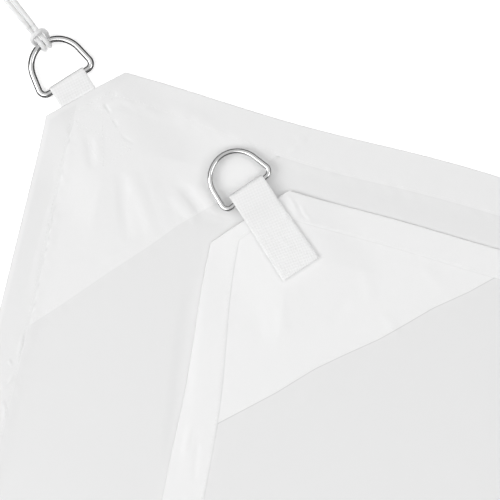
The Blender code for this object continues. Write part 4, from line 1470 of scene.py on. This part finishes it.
def ring_points():
    """The D-ring's middle line: bar along x, arch towards +y, round corners and straight sides."""
    corner = Vector((RING_HALF_BAR, RING_CORNER))
    arch = Vector((0, RING_DEPTH - RING_ARCH))
    between = arch - corner
    lean = math.acos((RING_CORNER - RING_ARCH) / between.length)
    side_angle = math.atan2(between.y, between.x) - lean
    corner_steps, arch_steps = RING_STEPS
    half = [Vector((0, 0)), Vector((RING_HALF_BAR / 2, 0))]
    for k in range(corner_steps + 1):
        angle = -math.pi / 2 + (side_angle + math.pi / 2) * k / corner_steps
        half.append(corner + RING_CORNER * Vector((math.cos(angle), math.sin(angle))))
    for k in range(arch_steps):
        angle = side_angle + (math.pi / 2 - side_angle) * k / arch_steps
        half.append(arch + RING_ARCH * Vector((math.cos(angle), math.sin(angle))))
    top = Vector((0, RING_DEPTH))
    return half + [top] + [Vector((-p.x, p.y)) for p in reversed(half[1:])]


def ring_matrix(name):
    """Places a ring's own plane: x along the bar, y towards the arch."""
    tip, outwards = tip_frame(name)
    bar, _ = bar_out(name)
    centre = tip + outwards * bar
    heading = math.atan2(outwards.y, outwards.x) + math.radians(CORNERS[name]["ring_turn"])
    rise = math.asin((ARCH_HEIGHT[name] - BAR_HEIGHT[name]) / RING_DEPTH)
    place = Matrix.Translation((centre.x, centre.y, BAR_HEIGHT[name]))
    return place @ Matrix.Rotation(heading - math.pi / 2, 4, "Z") @ Matrix.Rotation(rise, 4, "X")


def in_frame(place, points):
    """Points of a piece's own frame in the object's frame."""
    shift = Matrix.Translation(-ORIGIN) @ place
    return np.array([tuple(shift @ Vector(p)) for p in points])


def round_frames(line, closed):
    """Two directions square to a line at each of its points, with no twist between them."""
    if closed:
        run = np.roll(line, -1, axis=0) - np.roll(line, 1, axis=0)
    else:
        run = np.gradient(line, axis=0)
    run /= np.linalg.norm(run, axis=1)[:, None]
    side = np.cross(run[0], (0.0, 0.0, 1.0))
    sides = []
    for direction in run:
        side = side - direction * np.dot(side, direction)
        side = side / np.linalg.norm(side)
        sides.append(side)
    sides = np.array(sides)
    return sides, np.cross(run, sides)


def tube_mesh(name, line, radius, sides, closed=False, relief=None):
    """A round wire or cord along a line. relief gives its height over the length and the turn."""
    line = np.asarray(line, float)
    one, two = round_frames(line, closed)
    steps = np.linalg.norm(np.diff(line, axis=0), axis=1)
    along = np.concatenate([[0], np.cumsum(steps)])
    turn = np.arange(sides) / sides
    height = np.zeros((len(line), sides))
    if relief:
        height = relief(along[:, None], turn[None, :])
    cosine, sine = (f(2 * math.pi * turn)[None, :, None] for f in (np.cos, np.sin))
    spokes = one[:, None, :] * cosine + two[:, None, :] * sine
    places = (line[:, None, :] + spokes * (radius + height)[..., None]).reshape(-1, 3)
    faces = grid_faces(len(line), sides, closed)
    if not closed:
        faces.append(tuple(range(sides)))
        faces.append(tuple(range((len(line) - 1) * sides, len(line) * sides)))
    mesh = bpy.data.meshes.new(name)
    mesh.from_pydata(places.tolist(), [], faces)
    turned_out(mesh)
    add_grid_uv(mesh, along, turn * 2 * math.pi * radius)
    return mesh, height.reshape(-1)


def make_ring(name, finish):
    line = in_frame(ring_matrix(name), [(p.x, p.y, 0) for p in ring_points()])
    closed_line, _ = resampled(np.concatenate([line, line[:1]]), RING_STEP)
    mesh, _ = tube_mesh(f"d_ring_{name}", closed_line[:-1], WIRE / 2, RING_SIDES, closed=True)
    ring = new_piece(f"d_ring_{name}", mesh, finish)
    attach(ring, "root")
    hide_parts(f"ring_{name}")


# ---------------------------------------------------------------- cord


def smooth_route(points, step):
    """Points about a step apart on a smooth curve through the given ones."""
    route = [Vector(p) for p in points]
    route = [2 * route[0] - route[1], *route, 2 * route[-1] - route[-2]]
    found = []
    for before, start, end, after in zip(route, route[1:], route[2:], route[3:]):
        pieces = max(1, round((end - start).length / step))
        for k in range(pieces):
            t = k / pieces
            found.append(0.5 * (
                2 * start
                + (end - before) * t
                + (2 * before - 5 * start + 4 * end - after) * t**2
                + (3 * start - before - 3 * end + after) * t**3
            ))
    return found + [route[-2]]


def hitch_matrix():
    """Places the hitch's route: x across, y outwards along the cord, z up, at the ring's arch."""
    ring = ring_matrix("A")
    arch = ring @ Vector((0, RING_DEPTH, 0))
    heading = ring.to_euler().z + math.radians(CORD_TURN)
    return Matrix.Translation(arch) @ Matrix.Rotation(heading, 4, "Z")


def braid(along, turn):
    """Height of a braid's yarns, which pass over and under two by two."""
    one = YARNS * turn + YARNS * along / BRAID_PITCH
    two = YARNS * turn - YARNS * along / BRAID_PITCH
    over = np.floor(one / 2) + np.floor(two / 2)
    first = np.abs(np.sin(math.pi * one))
    second = np.abs(np.sin(math.pi * two))
    picks = np.where(over % 2 < 1, first, second)
    return (picks - YARN_LEVEL) * YARN_HEIGHT


def braided(name, mesh, heights, finish):
    """A piece of cord, from its mesh and the heights of its yarns."""
    # The grooves' depth, which the finish darkens as painted shade
    add_values(mesh, "groove", np.clip(-heights / GROOVE_SHADE_DEPTH, 0, 1))
    return new_piece(name, mesh, finish, BRAID_SHARP)


def cord_piece(name, line, diameter, finish):
    points, _ = resampled([tuple(p) for p in line], CORD_STEP)
    mesh, heights = tube_mesh(name, points, diameter / 2, CORD_SIDES, relief=braid)
    return braided(name, mesh, heights, finish), points


def strand_route(side, end_height):
    """One strand from the hitch to the knot, beside the other, in the hitch's frame."""
    x, y, z = (v * MM for v in HITCH_ROUTE[0])
    y += STRAND_START
    drop = end_height - z
    points = []
    for t in (0, 0.25, 0.5, 0.75, 1):
        spread = STRAND_SPREAD * math.sin(math.pi * t)
        points.append((-side * (x - spread), y + STRAND_LENGTH * t, z + drop * t))
    return points


def make_cord(finish):
    """The hitch round the ring, two strands, and the knot that ends them."""
    place = hitch_matrix()
    half = [Vector(p) * MM for p in HITCH_ROUTE]
    whole = half + [Vector((-p.x, p.y, p.z)) for p in reversed(half[:-1])]
    route = in_frame(place, smooth_route(whole, 2 * CORD_STEP))
    hitch, _ = cord_piece("hitch", route, CORD, finish)
    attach(hitch, "root")
    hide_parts("cord_hitch")
    knot_height = KNOT_HALF_HEIGHT - place.translation.z
    knot = make_knot(place, knot_height, finish)
    for side, label in ((-1, "left"), (1, "right")):
        route = in_frame(place, smooth_route(strand_route(side, knot_height), STRAND_STEP))
        strand, points = cord_piece(f"strand_{label}", route, STRAND, finish)
        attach(strand, "root")
        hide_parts(f"cord_{label}")
        [tuple(p) for p in points[::5]] + [tuple(points[-1])]


def make_knot(place, height, finish):
    """Wraps of one strand round both, whose short ends come out behind them."""
    start = HITCH_ROUTE[0][1] * MM + STRAND_START + STRAND_LENGTH + STRAND_START
    ends = np.linspace(0, KNOT_LENGTH + KNOT_TAIL, 9)
    lines = [[(side * STRAND_APART, start + t, height) for t in ends] for side in (-1, 1)]
    turns = []
    count = WRAP_POINTS * KNOT_WRAPS
    for k in range(count + 1):
        angle = 2 * math.pi * k / WRAP_POINTS
        x = (STRAND_APART + WRAP * WRAP_TIGHT) * math.cos(angle)
        z = WRAP * WRAP_TIGHT * math.sin(angle)
        turns.append((x, start + WRAP / 2 + (KNOT_LENGTH - WRAP) * k / count, height + z))
    form = bmesh.new()
    heights = []
    for number, line in enumerate([*lines, turns]):
        points, _ = resampled(in_frame(place, line), KNOT_STEP)
        mesh, relief = tube_mesh(f"knot_{number}", points, CORD / 2, KNOT_SIDES, relief=braid)
        form.from_mesh(mesh)
        heights.append(relief)
        bpy.data.meshes.remove(mesh)
    mesh = bpy.data.meshes.new("knot")
    form.to_mesh(mesh)
    form.free()
    knot = braided("knot", mesh, np.concatenate(heights), finish)
    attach(knot, "root")
    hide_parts("cord_knot")
    return knot


# ---------------------------------------------------------------- stage


def image_direction(right, up):
    """A level direction given by the photograph's right and up."""
    c, s = math.cos(VIEW_TURN), math.sin(VIEW_TURN)
    return Vector((right * c - up * s, right * s + up * c, 0))


def make_camera():
    data = bpy.data.cameras.new("camera")
    data.sensor_width = SENSOR
    data.lens = SENSOR * VIEW_DISTANCE / VIEW_WIDTH
    data.clip_start, data.clip_end = CLIP
    camera = add_object("camera", data)
    camera.location = VIEW_CENTRE - ORIGIN + Vector((0, 0, VIEW_DISTANCE))
    camera.rotation_euler = (0, 0, VIEW_TURN)
    bpy.context.scene.camera = camera


def make_light(name, direction, height, distance, size, power, shadows):
    """A soft square panel that faces the middle of the view."""
    data = bpy.data.lights.new(name, "AREA")
    data.size = size
    data.energy = power
    data.use_shadow = shadows
    light = add_object(name, data)
    target = VIEW_CENTRE - ORIGIN
    target.z = 0
    level = image_direction(*direction).normalized() * distance
    light.location = target + level + Vector((0, 0, height))
    light.rotation_euler = (target - light.location).to_track_quat("-Z", "Y").to_euler()
    light.visible_camera = False


def make_floor():
    """A plain white floor that the steel sees as darker than the camera does."""
    mesh = bpy.data.meshes.new("floor")
    turns = ((-1, -1), (1, -1), (1, 1), (-1, 1))
    corners = [(FLOOR_REACH * x, FLOOR_REACH * y, FLOOR_LEVEL) for x, y in turns]
    mesh.from_pydata(corners, [], [(0, 1, 2, 3)])
    finish = Finish("plain floor", Roughness=0.9, Emission_Color=(1, 1, 1, 1))
    in_steel = finish.node("ShaderNodeLightPath", output="Is Glossy Ray")
    finish.set(Base_Color=finish.mix(in_steel, *FLOOR_GREYS))
    finish.set(Emission_Strength=(1 - in_steel) * FLOOR_GLOW)
    mesh.materials.append(finish.material)
    add_object("floor", mesh)


def make_world():
    """Grey walls and ceiling, lighter towards the photograph's right and dark below it."""
    world = bpy.data.worlds.new("studio")
    world.use_nodes = True
    bpy.context.scene.world = world
    shader = Shader(world.node_tree)
    towards = shader.node("ShaderNodeTexCoord", output="Generated")
    level = CEILING
    for direction, flat, rise, span, grey in WORLD_SIDES:
        side = image_direction(*direction).normalized() * flat + Vector((0, 0, rise))
        settings = {"operation": "DOT_PRODUCT"}
        near = shader.node("ShaderNodeVectorMath", settings, towards, tuple(side), output=1)
        level = shader.mix(near.step(*span), level, grey)
    up = shader.parts(towards)[2]
    background = world.node_tree.nodes["Background"]
    shader.feed(background.inputs["Color"], shader.mix(up.step(*CEILING_FROM), HORIZON, level))
    bpy.context.scene.view_settings.view_transform = "Standard"


def make_stage():
    make_camera()
    make_floor()
    make_world()
    for light in LIGHTS:
        make_light(*light)


def main():
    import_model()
    make_stage()
    make_cloth()
    webbing = webbing_finish()
    steel = steel_finish()
    for name in CORNERS:
        make_strap(name, webbing)
        make_ring(name, steel)
    make_cord(cord_finish())
    make_seams()


main()
